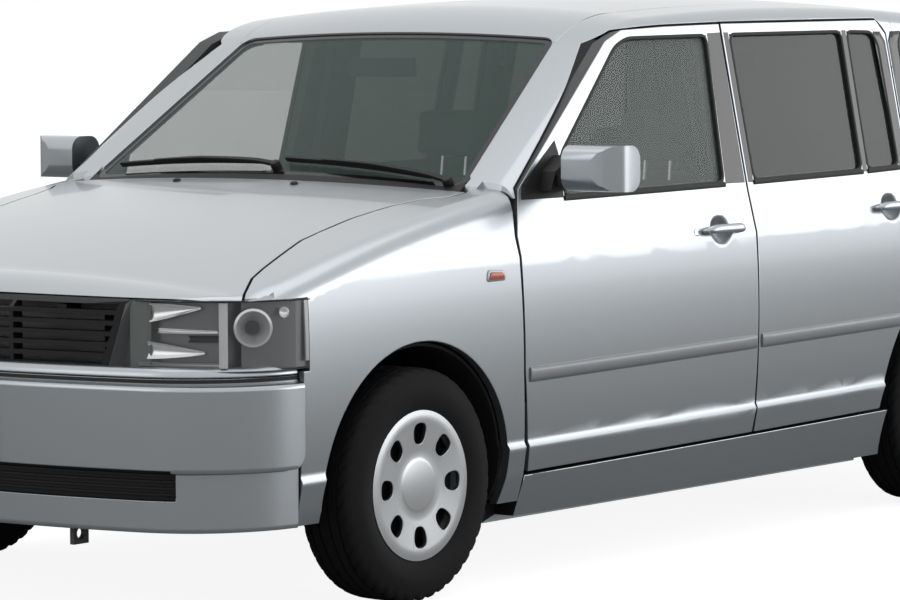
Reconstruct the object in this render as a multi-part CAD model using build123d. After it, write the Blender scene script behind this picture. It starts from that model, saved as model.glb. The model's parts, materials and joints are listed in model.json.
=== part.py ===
"""Compact five-door station wagon, an assembly of named pieces, millimetres, +X forward, +Z up."""
from build123d import *
from math import asin, atan2, cos, degrees, radians, sin, sqrt, tan
import os

os.makedirs("parts", exist_ok=True)

# Overall sizes
LENGTH = 4300.0
HEIGHT = 1510.0
HALF_WIDTH = 838.0
WHEELBASE = 2550.0
FRONT_OVERHANG = 815.0
TRACK_FRONT = 1480.0
TRACK_REAR = 1460.0
X_NOSE = LENGTH / 2
X_TAIL = -LENGTH / 2
AXLE_F = X_NOSE - FRONT_OVERHANG
AXLE_R = AXLE_F - WHEELBASE

# Wheels and tyres
TYRE_R = 291.5
TYRE_W = 175.0
RIM_R = 178.0
RIM_INNER_R = 166.0
COVER_R = 187.0
COVER_HOLES = 8
STUB_R = 18.0
ARCH_R = 358.0
HOUSING_R = 345.0
HOUSING_T = 8.0
WELL_IN_F = TRACK_FRONT / 2 - 264.0
WELL_IN_R = TRACK_REAR / 2 - 182.0

# Body side section: half widths at their heights
SIDE_SECTION = [(765, 120), (795, 208), (824, 292), (840, 366), (834, 378)]
SIDE_MID = (846, 610)
SHOULDER = (HALF_WIDTH, 850)
BELT = (808, 968)
ROOF_EDGE = (700, 1492)
PLAN_BOW_R = 70000.0
PLAN_BOW_X = -250.0
SIDE_RISE = 0.9
DOOR_T = 100.0
FRAME_T = 45.0

# Roof, windscreen and tail outline in side view
SCREEN_BASE = (985, 1020)
SCREEN_TOP = (392, 1422)
ROOF_PEAK_X = -700.0
ROOF_REAR = (-1860, 1440)
TAIL_BELT = (-2030, 1000)
TAIL_LOW = (-2075, 620)
CROWN_R = 6000.0
ROOF_CORNER_R = 60.0
TAIL_EDGE_R = 70.0
TAIL_SECTIONS = [(560, -2083, 828), (877, -2046, 819), (998, -2031, 788), (1560, -1814, 673)]
ROOF_T = 28.0
TAIL_T = 55.0

# Bonnet and nose
BONNET_CROWN_R = 7500.0
NOSE_X = 2112.0
NOSE_BOW_R = 2400.0
NOSE_CORNER_R = 300.0
PANEL_T = 24.0
LAMP_Z0 = 628.0
LAMP_Z1 = 782.0
LAMP_REAR_X = 1756.0
LAMP_DEPTH = 110.0
LAMP_IN = (450.0, 508.0)
GRILLE_Z0 = 612.0
GRILLE_BARS = 6
BUMPER_TOP = 600.0
BUMPER_BOTTOM = 228.0
BUMPER_T = 36.0
BLOCK_CORNER_R = 46.0
BLOCK_TOP = 584.0
FENDER_END_X = 1777.0
QUARTER_END_X = -1584.0
TAIL_BOW_R = 5200.0
TAIL_CORNER_R = 240.0
PIPE_Y = -445.0
EYE_Y = 300.0
EYE_R = 14.0
PLATE_HOLE_R = 3.5
PLATE_HOLE_Y = 105.0
PLATE_Z = (450.0, 800.0)
INTAKE = (308.0, 382.0, 640.0)

# Gaps between moving panels
GAP = 7.0
DOOR_TAPER = 9.0
CUT_Y = 900.0
SEAT_FIT = 0.3
PANEL_X = 1985.0
LOCK_Z = (740.0, 772.0)
RADIATOR_T = 32.0
RADIATOR_Y = 325.0
BEAM_Y = 430.0

# Door edges seen from the side
DOOR_FRONT_X = (893.0, 922.0, 931.0)
DOOR_SPLIT_X = -140.0
DOOR_REAR_X = -1003.0
DOOR_ARCH_R = 405.0
DOOR_LOW_Z = (282.0, 298.0, 309.0)
DOOR_TOP_Z = (1421.0, 1428.0, 1438.0)
FRAME_LEAN = 19.0

# Hinges
HINGE_FRONT = (864.0, 822.0)
HINGE_REAR = (-213.5, 830.0)
HINGE_Z = (480.0, 780.0)
HINGE_PIN_R = 3.5
HINGE_EYE_R = 6.0
BONNET_AXIS = (958.0, 975.0)
BONNET_HINGE_Y = 668.0
BONNET_EDGE = [(985.0, 690.0), (1045.0, 686.0), (1110.0, 642.0), (1200.0, 619.0), (1345.0, 607.0),
               (1552.0, 617.0), (1759.0, 672.0), (1825.0, 693.0), (1915.0, 746.0), (2010.0, 815.0),
               (2300.0, 815.0)]
TAIL_HINGE_Y = 250.0
TAIL_AXIS = (-1832.0, 1424.0)
KING_TOP = (TRACK_FRONT / 2 - 180.0, 780.0)
KING_LOW = (TRACK_FRONT / 2 - 68.0, 185.0)
COLUMN_TILT = 25.0
MIRROR_X = (686.0, 800.0)
MIRROR_Y = (858.0, 1026.0)
MIRROR_Z = (1000.0, 1118.0)
STEER_CENTRE = (430.0, -370.0, 850.0)
STEER_R = 185.0


def face_of(plane, *pieces):
    with BuildSketch(plane) as sk:
        with BuildLine():
            for kind, pts in pieces:
                if kind == "line":
                    Polyline(*pts)
                else:
                    ThreePointArc(*pts)
        make_face()
    return sk.sketch.face()


def poly(plane, pts):
    return face_of(plane, ("line", list(pts) + [pts[0]]))


def box(x0, x1, y0, y1, z0, z1):
    return Pos((x0 + x1) / 2, (y0 + y1) / 2, (z0 + z1) / 2) * Box(x1 - x0, y1 - y0, z1 - z0)


def both(solid):
    return [solid, mirror(solid, Plane.XZ)]


def solids_of(shape):
    return [s for s in shape.solids() if s.volume > 200]


def biggest(shape):
    return max(shape.solids(), key=lambda s: s.volume)


def xz_prism(pts, y0, y1):
    f = poly(Plane.XZ, pts)
    return Pos(0, y1, 0) * extrude(f, y1 - y0)


def yz_prism(pts, x0, x1):
    f = poly(Plane.YZ, pts)
    return Pos(x0, 0, 0) * extrude(f, x1 - x0)


def xy_prism(pts, z0, z1):
    f = poly(Plane.XY, pts)
    return Pos(0, 0, z0) * extrude(f, z1 - z0)


def cyl_y(x, z, r, y0, y1):
    return Pos(x, (y0 + y1) / 2, z) * Rot(90, 0, 0) * Cylinder(r, y1 - y0)


# Outer forms: each takes how far inside the skin it lies
def side_form(low, up, straight=False):
    pts = [(y - low, z) for y, z in SIDE_SECTION]
    mid = (SIDE_MID[0] - low, SIDE_MID[1])
    sh = (SHOULDER[0] - low, SHOULDER[1])
    if straight:
        k = (SHOULDER[0] - BELT[0]) / (BELT[1] - SHOULDER[1])
        top = [sh, (sh[0] - k * 320, SHOULDER[1] + 320), (-1300, SHOULDER[1] + 320)]
    else:
        belt_z = BELT[1] - 0.5 * (low - up)
        knee = (BELT[0] - low, belt_z) if low > up else (BELT[0] - up, BELT[1])
        top = [sh, knee]
        if low > up:
            top.append((BELT[0] - up, BELT[1]))
        top += [(ROOF_EDGE[0] - up, ROOF_EDGE[1]), (ROOF_EDGE[0] - 60 - up, 1600), (-1300, 1600)]
    f = face_of(Plane.YZ, ("line", [(-1300, 120)] + pts), ("arc", [pts[-1], mid, sh]),
                ("line", top + [(-1300, 120)]))
    ang = degrees(asin(2450 / (PLAN_BOW_R - 2100)))
    axis = Axis((0, HALF_WIDTH - PLAN_BOW_R, 0), (0, 0, 1))
    form = revolve(f.rotate(axis, -ang), axis, 2 * ang)
    return Rot(0, SIDE_RISE, 0) * (Pos(PLAN_BOW_X, 0, 0) * form)


def crowned(face, z, radius, half):
    axis = Axis((0, 0, z - radius), (1, 0, 0))
    return revolve(face.rotate(axis, -half), axis, 2 * half)


def cabin_top(roof, screen, tail):
    dx, dz = SCREEN_BASE[0] - SCREEN_TOP[0], SCREEN_TOP[1] - SCREEN_BASE[1]
    n = sqrt(dx * dx + dz * dz)
    ox, oz = -screen * dz / n, -screen * dx / n
    base = (SCREEN_BASE[0] + ox, SCREEN_BASE[1] + oz)
    top = (SCREEN_TOP[0] + ox, SCREEN_TOP[1] + oz)
    front_end = (160 - 0.3 * screen, 1485 - roof)
    rear_top = (ROOF_REAR[0] + tail, ROOF_REAR[1] - roof)
    f = face_of(Plane.XZ, ("line", [base, top]),
                ("arc", [top, (300 + 0.6 * ox, 1462 + 0.8 * oz - 0.2 * roof), front_end]),
                ("arc", [front_end, (ROOF_PEAK_X, HEIGHT - roof), rear_top]),
                ("line", [rear_top, (TAIL_BELT[0] + tail, TAIL_BELT[1]), (TAIL_LOW[0] + tail, TAIL_LOW[1]),
                          (TAIL_LOW[0] + tail, 60), (base[0], 60), base]))
    return crowned(f, HEIGHT, CROWN_R, 9)


def bonnet_form(t):
    f = face_of(Plane.XZ, ("arc", [(700, 1066 - t), (1350, 972 - t), (1930, 830 - t)]),
                ("arc", [(1930, 830 - t), (2052 - 0.5 * t, 793 - t), (NOSE_X - t, 735 - t)]),
                ("line", [(NOSE_X - t, 735 - t), (NOSE_X - t, 100), (700, 100), (700, 1066 - t)]))
    return crowned(f, 1015, BONNET_CROWN_R, 9)


def nose_plan(x_tip, bow_r, corner_r, side_y, inset, z0, z1):
    wide = side_y + 60
    x_edge = x_tip - (bow_r - sqrt(bow_r ** 2 - wide ** 2))
    f = face_of(Plane.XY, ("arc", [(x_edge - inset, -wide), (x_tip - inset, 0), (x_edge - inset, wide)]),
                ("line", [(x_edge - inset, wide), (500, wide), (500, -wide), (x_edge - inset, -wide)]))
    g = (f & Rectangle(6000, 2 * (side_y - inset)).face()).face()
    g = g.fillet_2d(corner_r - inset, [v for v in g.vertices() if v.X > 600])
    return Pos(0, 0, z0) * extrude(g, z1 - z0)


def nose_shell(x_tip, side_y, outer, inner, z0, z1, corner_r=NOSE_CORNER_R):
    a = nose_plan(x_tip, NOSE_BOW_R, corner_r, side_y, outer, z0, z1)
    b = nose_plan(x_tip, NOSE_BOW_R, corner_r, side_y, inner, z0 - 5, z1 + 5)
    return a - b


def tail_corner(inset):
    rings = []
    for z, x, y in TAIL_SECTIONS:
        f = poly(Plane.XY, [(x + inset, -1500), (1500, -1500), (1500, y + 130 - inset),
                            (x + inset, y - inset)])
        f = f.fillet_2d(TAIL_EDGE_R, [v for v in f.vertices() if v.X < 0 and v.Y > 0])
        rings.append(Pos(0, 0, z) * f)
    return loft(rings, ruled=True)


def outer_body():
    left = side_form(0, 0)
    corner = tail_corner(0)
    body = left & mirror(left, Plane.XZ) & cabin_top(0, 0, 0)
    edges = [e for e in body.edges() if abs(e.center().Y) > 600 and e.center().Z > 1380 and e.length > 1500]
    return fillet(edges, ROOF_CORNER_R) & corner & mirror(corner, Plane.XZ)


def inner_body():
    left = side_form(DOOR_T, FRAME_T)
    return left & mirror(left, Plane.XZ) & cabin_top(ROOF_T, ROOF_T, TAIL_T)


OUTER = outer_body()
INNER = inner_body()
SHELL = OUTER - INNER


# Door outlines, drawn in side view and cut with edges that lean inward
def front_door_face():
    k = FRAME_LEAN
    xr = DOOR_SPLIT_X + GAP / 2
    x0, x1, x2 = DOOR_FRONT_X
    return poly(Plane.XZ, [(x0, DOOR_LOW_Z[0]), (x1, 545), (x2, 890), (897, 1012),
                           (420, 1380 + k), (335, 1412 + k), (140, DOOR_TOP_Z[0] + k),
                           (xr - k, DOOR_TOP_Z[1] + k), (xr - 0.25 * k, BELT[1]), (xr, SHOULDER[1]),
                           (xr, DOOR_LOW_Z[1])])


def rear_door_face():
    k = FRAME_LEAN
    a0 = radians(2.5)
    a1 = atan2(sqrt(DOOR_ARCH_R ** 2 - (DOOR_REAR_X - AXLE_R) ** 2), DOOR_REAR_X - AXLE_R)
    am = (a0 + a1) / 2
    arc = [(AXLE_R + DOOR_ARCH_R * cos(a), TYRE_R + DOOR_ARCH_R * sin(a)) for a in (a0, am, a1)]
    xf = DOOR_SPLIT_X - GAP / 2
    return face_of(Plane.XZ, ("line", [(xf, DOOR_LOW_Z[1]), arc[0]]), ("arc", arc),
                   ("line", [arc[2], (DOOR_REAR_X, SHOULDER[1]), (DOOR_REAR_X - 0.25 * k, BELT[1]),
                             (DOOR_REAR_X - k, 1385 + k), (-970, DOOR_TOP_Z[2] + k),
                             (xf + k, DOOR_TOP_Z[1] + k), (xf + 0.25 * k, BELT[1]),
                             (xf, SHOULDER[1]), (xf, DOOR_LOW_Z[1])]))


def door_prism(face, grow):
    shrink = (CUT_Y - HALF_WIDTH) * tan(radians(DOOR_TAPER))
    f = offset(face, shrink + grow, kind=Kind.INTERSECTION)
    f = f.face() if hasattr(f, "face") else f
    f = Pos(0, CUT_Y, 0) * f
    return extrude(f, 330, taper=DOOR_TAPER)


WINDOWS = {
    "front": [(700, 984), (690, 1088), (372, 1368), (310, 1390), (-64, 1396), (-30, 994)],
    "rear": [(-178, 996), (-178, 1398), (-758, 1404), (-745, 1006)],
    "rear_fixed": [(-778, 1007), (-790, 1404), (-925, 1402), (-952, 1370), (-950, 1012)],
    "quarter": [(-1062, 1016), (-1066, 1372), (-1100, 1404), (-1700, 1392), (-1790, 1036)],
}


def side_glass(names, inset):
    slab = side_form(8, 8) - side_form(13, 13)
    out = []
    for name in names:
        f = offset(poly(Plane.XZ, WINDOWS[name]), -inset, kind=Kind.INTERSECTION).face()
        out.append(biggest(slab & (Pos(0, 950, 0) * extrude(f, 400, dir=(0, -1, 0)))))
    return out


def window_cut(name):
    return Pos(0, 950, 0) * extrude(poly(Plane.XZ, WINDOWS[name]), 400, dir=(0, -1, 0))


def hinge_strap(axis, x_post):
    x, y = axis
    out = None
    for z in HINGE_Z:
        strap = box(x - HINGE_EYE_R, x + HINGE_EYE_R, 708, y, z - 12, z + 12)
        strap = strap + box(x - HINGE_EYE_R, x_post, 708, 722, z - 12, z + 12)
        strap = strap + Pos(x, y, z) * Cylinder(HINGE_EYE_R, 24) + Pos(x, y, z) * Cylinder(HINGE_PIN_R, 40)
        out = strap if out is None else out + strap
    return out


def hinge_room(axis):
    x, y = axis
    out = None
    for z in HINGE_Z:
        room = box(x - 14, x + 90, 600, y + 8, z - 15, z + 15)
        room = room + Pos(x, y, z) * Cylinder(HINGE_PIN_R + SEAT_FIT, 44)
        out = room if out is None else out + room
    return out


def make_doors():
    out = {}
    for key, face, wins in (("front", front_door_face(), ["front"]),
                            ("rear", rear_door_face(), ["rear", "rear_fixed"])):
        door = side_form(0, 0) - side_form(DOOR_T, FRAME_T)
        door = biggest(door & door_prism(face, 0))
        for w in wins:
            door = door - window_cut(w)
        door = door - hinge_room(HINGE_FRONT if key == "front" else HINGE_REAR)
        out[key] = biggest(door)
    return out


def front_aperture():
    return door_prism(front_door_face(), GAP)


def rear_aperture():
    return door_prism(rear_door_face(), GAP)


def screen_cut(inset):
    dx, dz = SCREEN_BASE[0] - SCREEN_TOP[0], SCREEN_TOP[1] - SCREEN_BASE[1]
    length = sqrt(dx * dx + dz * dz)
    pl = Plane(origin=(SCREEN_BASE[0], 0, SCREEN_BASE[1]), x_dir=(0, 1, 0),
               z_dir=(dz / length, 0, dx / length))
    pts = [(-650 + inset, 26 + inset), (650 - inset, 26 + inset),
           (548 - inset, length - 22 - inset), (-548 + inset, length - 22 - inset)]
    sk = (pl * Polygon(*pts, align=None)).face()
    sk = sk.fillet_2d(45, sk.vertices())
    return extrude(sk, 200, both=True)


def save(name, shapes):
    parts = shapes if isinstance(shapes, (list, tuple)) else [shapes]
    flat = []
    for p in parts:
        flat += solids_of(p)
    obj = flat[0] if len(flat) == 1 else Compound(children=[Solid(f.wrapped) for f in flat])
    obj.label = name
    export_step(obj, f"parts/{name}.step")


def make_roof():
    roof = SHELL & box(TAIL_AXIS[0] - 20, 1000, -560, 560, 1380, 1600)
    roof = biggest(roof - screen_cut(0) - tail_prism(GAP))
    x, z = TAIL_AXIS
    for y in (-TAIL_HINGE_Y, TAIL_HINGE_Y):
        roof = roof - box(x - 60, x + 17, y - 14, y + 14, 1300, 1600) + cyl_y(x, z, 4, y - 18, y + 18)
    return biggest(roof)


def make_roof_rails():
    zone = box(DOOR_REAR_X - 40, 911, 560.3, 950, 1300, 1600) + box(250, 911, 560.3, 950, 985, 1300)
    zone = zone + box(380, 985, 500, 690, 985, 1379.7)
    zone = zone - box(900, 990, 500, 650.3, 900, 1100) - box(935, 990, 500, 700, 900, 1100)
    wall = SHELL & zone
    wall = wall - front_aperture() - rear_aperture() - screen_cut(0)
    return biggest(wall)


def tail_prism(grow):
    pts = [(-572 - grow, 606 - grow), (572 + grow, 606 - grow), (590 + grow, 1000), (548 + grow, 1400),
           (500 + grow, 1600), (-500 - grow, 1600), (-548 - grow, 1400), (-590 - grow, 1000)]
    return yz_prism(pts, -2300, TAIL_AXIS[0] - 28 + grow)


def make_tailgate():
    gate = SHELL & tail_prism(0)
    gate = biggest(gate & box(-2300, TAIL_AXIS[0] - 28, -700, 700, 606, 1600))
    for y in (-PLATE_HOLE_Y, PLATE_HOLE_Y):
        gate = gate - rod_x(-2200, -1900, y, PLATE_Z[1], PLATE_HOLE_R)
    gate = biggest(gate - tail_window(0))
    x, z = TAIL_AXIS
    for y in (-TAIL_HINGE_Y, TAIL_HINGE_Y):
        arm = box(x - 40, x, y - 8, y + 8, z - 8.5, z + 5) + cyl_y(x, z, 8.5, y - 8, y + 8)
        gate = gate + arm - cyl_y(x, z, 4 + SEAT_FIT, y - 20, y + 20)
    return biggest(gate)


def tail_window(inset):
    pts = [(-520 + inset, 1045 + inset), (520 - inset, 1045 + inset),
           (488 - inset, 1372 - inset), (-488 + inset, 1372 - inset)]
    return yz_prism(pts, -2300, -1700)


def make_tail_glass():
    pane = (cabin_top(0, 0, 6) - cabin_top(8, 8, 11)) & tail_window(SEAT_FIT)
    return biggest(pane & box(-2300, -1800, -700, 700, 900, 1500))


def tail_lamp_cut(grow):
    pts = [(600 - grow, 640 - grow), (790 + grow, 640 - grow), (790 + grow, 1180 + grow),
           (606 - grow, 1180 + grow), (608 - grow, 1000)]
    return yz_prism(pts, -2300, -1968 + grow)


def make_quarter():
    wall = SHELL & box(-2200, -780, 300, 950, 200, 1600)
    wall = wall - box(DOOR_REAR_X, -700, 300, 950, 100, 306.3) - box(DOOR_REAR_X, -700, 300, 950, 700, 1600)
    rail_zone = box(DOOR_REAR_X - 40.3, 1000, 300, 950, 1300, 1600)
    wall = wall - rear_aperture() - rail_zone - tail_prism(GAP)
    wall = wall - box(-2200, 0, -560.3, 560.3, 1330, 1600)
    wall = wall - window_cut("quarter")
    wall = wall - cyl_y(AXLE_R, TYRE_R, ARCH_R, 500, 1000)
    wall = wall - box(-2300, QUARTER_END_X + 7, 300, 950, 150, BUMPER_TOP + 6)
    wall = wall - tail_lamp_cut(SEAT_FIT)
    return biggest(wall)


FUEL_LID = (-1480.0, 760.0, 150.0, 140.0)
FUEL_AXIS = (-1427.0, -818.0)
FUEL_PIN_R = 3.0


def fuel_cut(grow, depth):
    x, z, w, h = FUEL_LID
    return box(x - w / 2 - grow, x + w / 2 + grow, -900, -900 + depth, z - h / 2 - grow, z + h / 2 + grow)


def make_tail_lamps():
    lamp = SHELL & tail_lamp_cut(0) & box(-2300, -1900, 300, 950, 600, 1300)
    return biggest(lamp)


def make_sills():
    bar = (side_form(0, 0) - side_form(DOOR_T + 6, DOOR_T + 6)) & box(-886, 899.7, 500, 950, 168, 700)
    bar = bar - xz_prism([(1100, 276), (940, 276), (893, 275), (-140, 291), (-1100, 306), (-1100, 900),
                          (1100, 900)], 400, 1000)
    bar = bar - cyl_y(AXLE_R, TYRE_R, ARCH_R, 400, 1000) - cyl_y(AXLE_F, TYRE_R, ARCH_R, 400, 1000)
    flange = box(-840, 960, 700, 716, 150, 200)
    return biggest(bar + flange)


def make_b_pillar():
    post = side_form(DOOR_T + 22, FRAME_T + 35) - side_form(DOOR_T + 62, FRAME_T + 65)
    post = post & box(DOOR_SPLIT_X - 62, DOOR_SPLIT_X + 62, 500, 950, 214 + SEAT_FIT, 1480)
    post = post & cabin_top(ROOF_T + SEAT_FIT, ROOF_T, TAIL_T)
    return biggest(post + hinge_strap(HINGE_REAR, DOOR_SPLIT_X - 50))


def make_hinge_pillar():
    post = side_form(PANEL_T + SEAT_FIT, PANEL_T + SEAT_FIT, True) - side_form(120, 120, True)
    post = post & box(880, 978, 500, 950, 215, 958)
    post = (post & side_form(PANEL_T + SEAT_FIT, FRAME_T)) - box(800, 900, 500, 950, 100, 290)
    return biggest((post - front_aperture()) + hinge_strap(HINGE_FRONT, 905))


def fender_master():
    left = side_form(0, 0, True)
    inner_left = side_form(PANEL_T, PANEL_T, True)
    a = left & mirror(left, Plane.XZ) & bonnet_form(0)
    b = inner_left & mirror(inner_left, Plane.XZ) & bonnet_form(PANEL_T)
    return a, b


FRONT_OUT, FRONT_IN = fender_master()


def bonnet_prism(grow):
    edge = BONNET_EDGE
    f = face_of(Plane.XY, ("arc", [edge[0], (edge[0][0] + 60, 0), (edge[0][0], -edge[0][1])]),
                ("line", [(x, -y) for x, y in edge] + [(x, y) for x, y in reversed(edge)]))
    if grow:
        f = offset(f, grow, kind=Kind.INTERSECTION).face()
    return Pos(0, 0, LAMP_Z1 + 4 - grow) * extrude(f, 400)


def front_skin():
    tip = nose_plan(NOSE_X, NOSE_BOW_R, NOSE_CORNER_R, HALF_WIDTH, 0, 100, 1200)
    tip_in = nose_plan(NOSE_X, NOSE_BOW_R, NOSE_CORNER_R, HALF_WIDTH, PANEL_T, 90, 1210)
    return (FRONT_OUT & tip) - (FRONT_IN & tip_in)


FRONT_SKIN = front_skin()


def make_bonnet():
    lid = FRONT_SKIN & bonnet_prism(0)
    x, z = BONNET_AXIS
    for y in (-BONNET_HINGE_Y, BONNET_HINGE_Y):
        arm = box(x, 1040, y - 5, y + 5, z - 9, z + 5) + cyl_y(x, z, 9, y - 5, y + 5)
        lid = lid + arm - cyl_y(x, z, 4 + SEAT_FIT, y - 10, y + 10)
    return biggest(lid)


def make_fender():
    skin = FRONT_SKIN & box(890, 2200, 400, 950, 208, 1100)
    skin = skin - bonnet_prism(GAP) - cyl_y(AXLE_F, TYRE_R, ARCH_R, 400, 1000)
    lamp_room = box(LAMP_REAR_X - SEAT_FIT, 2200, 300, 950, BUMPER_TOP + 6, LAMP_Z1 + SEAT_FIT)
    skin = skin - front_aperture() - lamp_room
    skin = skin - box(FENDER_END_X, 2200, 300, 950, 100, BUMPER_TOP + 6.1)
    skin = skin - box(1500, 2200, 300, 950, 100, BUMPER_BOTTOM + 4) - box(800, 986, 300, 690.3, 200, 1200)
    skin = skin & xz_prism([(DOOR_FRONT_X[0] + GAP, 200), (DOOR_FRONT_X[1] + GAP, 545),
                            (DOOR_FRONT_X[2] + GAP, 890), (912, 1040), (912, 1200), (2200, 1200),
                            (2200, 200)], 300, 1000)
    return biggest(skin)


def make_headlamp():
    shell = nose_shell(NOSE_X, HALF_WIDTH - 8, 0, LAMP_DEPTH, LAMP_Z0 - 14, LAMP_Z1)
    side = side_form(1, 1) & mirror(side_form(1, 1), Plane.XZ)
    lamp = shell & side & bonnet_form(0)
    keep = [(LAMP_REAR_X, 900), (LAMP_REAR_X, 500), (1900, 478), (2014, 478), (2014, 430), (2200, 430),
            (2200, 900)]
    lamp = lamp & xy_prism(keep, 600, 800)
    slant = yz_prism([(LAMP_IN[0], LAMP_Z0 - 20), (LAMP_IN[1], LAMP_Z1 + 5), (900, LAMP_Z1 + 5),
                      (900, LAMP_Z0 - 20)],
                     1700, 2200)
    return biggest(lamp & slant)


def make_grille():
    face = nose_shell(NOSE_X, HALF_WIDTH, 14, 46, GRILLE_Z0, LAMP_Z1)
    lean = (LAMP_IN[1] - LAMP_IN[0]) / (LAMP_Z1 - LAMP_Z0 + 25)
    low, high = LAMP_IN[0] - 3, LAMP_IN[0] - 3 + lean * (LAMP_Z1 - GRILLE_Z0)
    outline = yz_prism([(-low, GRILLE_Z0), (low, GRILLE_Z0), (high, LAMP_Z1), (-high, LAMP_Z1)], 1900, 2200)
    face = face & outline & bonnet_form(2)
    step = (LAMP_Z1 - GRILLE_Z0 - 16) / GRILLE_BARS
    for i in range(GRILLE_BARS):
        z = GRILLE_Z0 + 8 + i * step
        w = low - 22 + lean * i * step
        cut = yz_prism([(-w, z + 6), (w, z + 6), (w + 8, z + step - 5), (-w - 8, z + step - 5)], 1900, 2200)
        for y in (-1, 1):
            cut = cut - box(1900, 2200, y * 160 - 6, y * 160 + 6, 600, 800)
        face = face - cut
    for y in (-300, 300):
        face = face + box(2010 + SEAT_FIT, 2062, y - 15, y + 15, 748, 764)
    return biggest(face)


def bumper(x_tip, side_y, rear_x):
    shell = nose_shell(x_tip, side_y, 0, BUMPER_T, BUMPER_BOTTOM, BUMPER_TOP, 320)
    shell = shell & box(rear_x, 2300, -900, 900, 200, 700)
    return shell


def make_front_bumper():
    rear = FENDER_END_X + 5
    block = bumper(X_NOSE, 826, rear) & box(1000, 2300, -900, 900, 372, BLOCK_TOP)
    r = BLOCK_CORNER_R
    corner = box(rear - 9, rear + r, -900, 900, 372, 372 + r) - cyl_y(rear + r, 372 + r, r, -900, 900)
    low = nose_shell(X_NOSE - 12, 802, 0, BUMPER_T, BUMPER_BOTTOM, BUMPER_TOP, 320)
    low = low & box(rear, 2300, -900, 900, 200, 700)
    bar = (block - corner) + low
    z0, z1, y = INTAKE
    bar = bar - box(1900, 2300, -y, y, z0, z1)
    for y in (-PLATE_HOLE_Y, PLATE_HOLE_Y):
        bar = bar - rod_x(2000, 2300, y, PLATE_Z[0], PLATE_HOLE_R)
    for y in (-300, 300):
        bar = bar + box(2062 + SEAT_FIT, 2118, y - 20, y + 20, 440, 480)
    return biggest(bar)


def rear_plan(inset, z0, z1, tip=LENGTH / 2):
    return mirror(nose_plan(tip, TAIL_BOW_R, TAIL_CORNER_R, 826, inset, z0, z1), Plane.YZ)


def make_rear_bumper():
    bar = rear_plan(0, BUMPER_BOTTOM, BUMPER_TOP) - rear_plan(BUMPER_T, BUMPER_BOTTOM - 5, BUMPER_TOP + 5)
    deck = rear_plan(4, 560, 590) & box(-2200, -2082, -800, 800, 500, 640)
    bar = (bar & box(-2300, QUARTER_END_X, -900, 900, 200, 700)) + deck
    return biggest(bar - box(-2300, -1990, PIPE_Y - 34, PIPE_Y + 34, 200, 322))


def tyre(x, y):
    w = TYRE_W / 2
    f = face_of(Plane.XY, ("line", [(RIM_R + 0.3, -w + 22), (RIM_R + 10, -w + 12)]),
                ("arc", [(RIM_R + 10, -w + 12), (235, -w), (TYRE_R - 24, -w + 8)]),
                ("arc", [(TYRE_R - 24, -w + 8), (TYRE_R - 7, -w + 14), (TYRE_R - 1.5, -w + 30)]),
                ("arc", [(TYRE_R - 1.5, -w + 30), (TYRE_R, 0), (TYRE_R - 1.5, w - 30)]),
                ("arc", [(TYRE_R - 1.5, w - 30), (TYRE_R - 7, w - 14), (TYRE_R - 24, w - 8)]),
                ("arc", [(TYRE_R - 24, w - 8), (235, w), (RIM_R + 10, w - 12)]),
                ("line", [(RIM_R + 10, w - 12), (RIM_R + 0.3, w - 22), (RIM_R + 0.3, -w + 22)]))
    return Pos(x, y, TYRE_R) * revolve(f, Axis.Y, 360)


def wheel(x, y, s):
    w = TYRE_W / 2 - 22
    f = poly(Plane.XY, [(RIM_INNER_R, -75), (184, -75), (184, -w - 6.8), (RIM_R, -w - 0.5), (RIM_R, w + 0.5),
                        (184, w + 6.8), (184, 75), (RIM_INNER_R, 75), (RIM_INNER_R, 42), (60, 52), (60, 22),
                        (RIM_INNER_R - 12, 30), (RIM_INNER_R - 6, -60)])
    rim = revolve(f, Axis.Y, 360)
    hub = Rot(90, 0, 0) * Cylinder(62, 56)
    cover = revolve(poly(Plane.XY, [(0, 56), (150, 60), (172, 75.3), (186, 75.3), (COVER_R, 78),
                                    (168, 81), (150, 79), (70, 70), (60, 73), (0, 73)]), Axis.Y, 360)
    for i in range(COVER_HOLES):
        hole = Polygon((-22, 100), (22, 100), (30, 158), (-30, 158), align=None).face()
        slot = Pos(0, 70, 0) * Rot(90, 0, 0) * extrude(hole, 40, both=True)
        cover = cover - Rot(0, i * 360 / COVER_HOLES, 0) * slot
    hub = Pos(0, 30, 0) * hub
    disc = Pos(0, 8, 0) * Rot(90, 0, 0) * Cylinder(118, 16)
    bore = Pos(0, 18, 0) * Rot(90, 0, 0) * Cylinder(STUB_R + SEAT_FIT, 56)
    w_solid = (rim + hub + cover + disc) - bore
    if s < 0:
        w_solid = mirror(w_solid, Plane.XZ)
    return Pos(x, y, TYRE_R) * w_solid


def knuckle():
    top = Vector(AXLE_F, KING_TOP[0], KING_TOP[1])
    low = Vector(AXLE_F, KING_LOW[0], KING_LOW[1])
    d = (top - low).normalized()
    foot = low + d * 12
    strut = Solid.make_cylinder(24, (top - foot).length - 150, Plane(origin=foot + d * 130, z_dir=d))
    rod = Solid.make_cylinder(11, 120, Plane(origin=top - d * 130, z_dir=d))
    ball = Pos(low.X, low.Y, low.Z) * Sphere(16)
    y = KING_LOW[0]
    web = box(AXLE_F - 26, AXLE_F + 26, y - 17, y + 33, 204, 350)
    stem = Pos(AXLE_F, KING_LOW[0], 200) * Cylinder(9, 30)
    hub = cyl_y(AXLE_F, TYRE_R, 44, y - 36, y + 60) + cyl_y(AXLE_F, TYRE_R, STUB_R, y + 28, y + 108)
    shelf = Solid.make_cylinder(82, 6, Plane(origin=top - d * 172, z_dir=d))
    arm = box(AXLE_F - 130, AXLE_F, y - 40, y - 16, 262, 290)
    return biggest(strut + rod + ball + stem + web + hub + shelf + arm)


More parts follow.
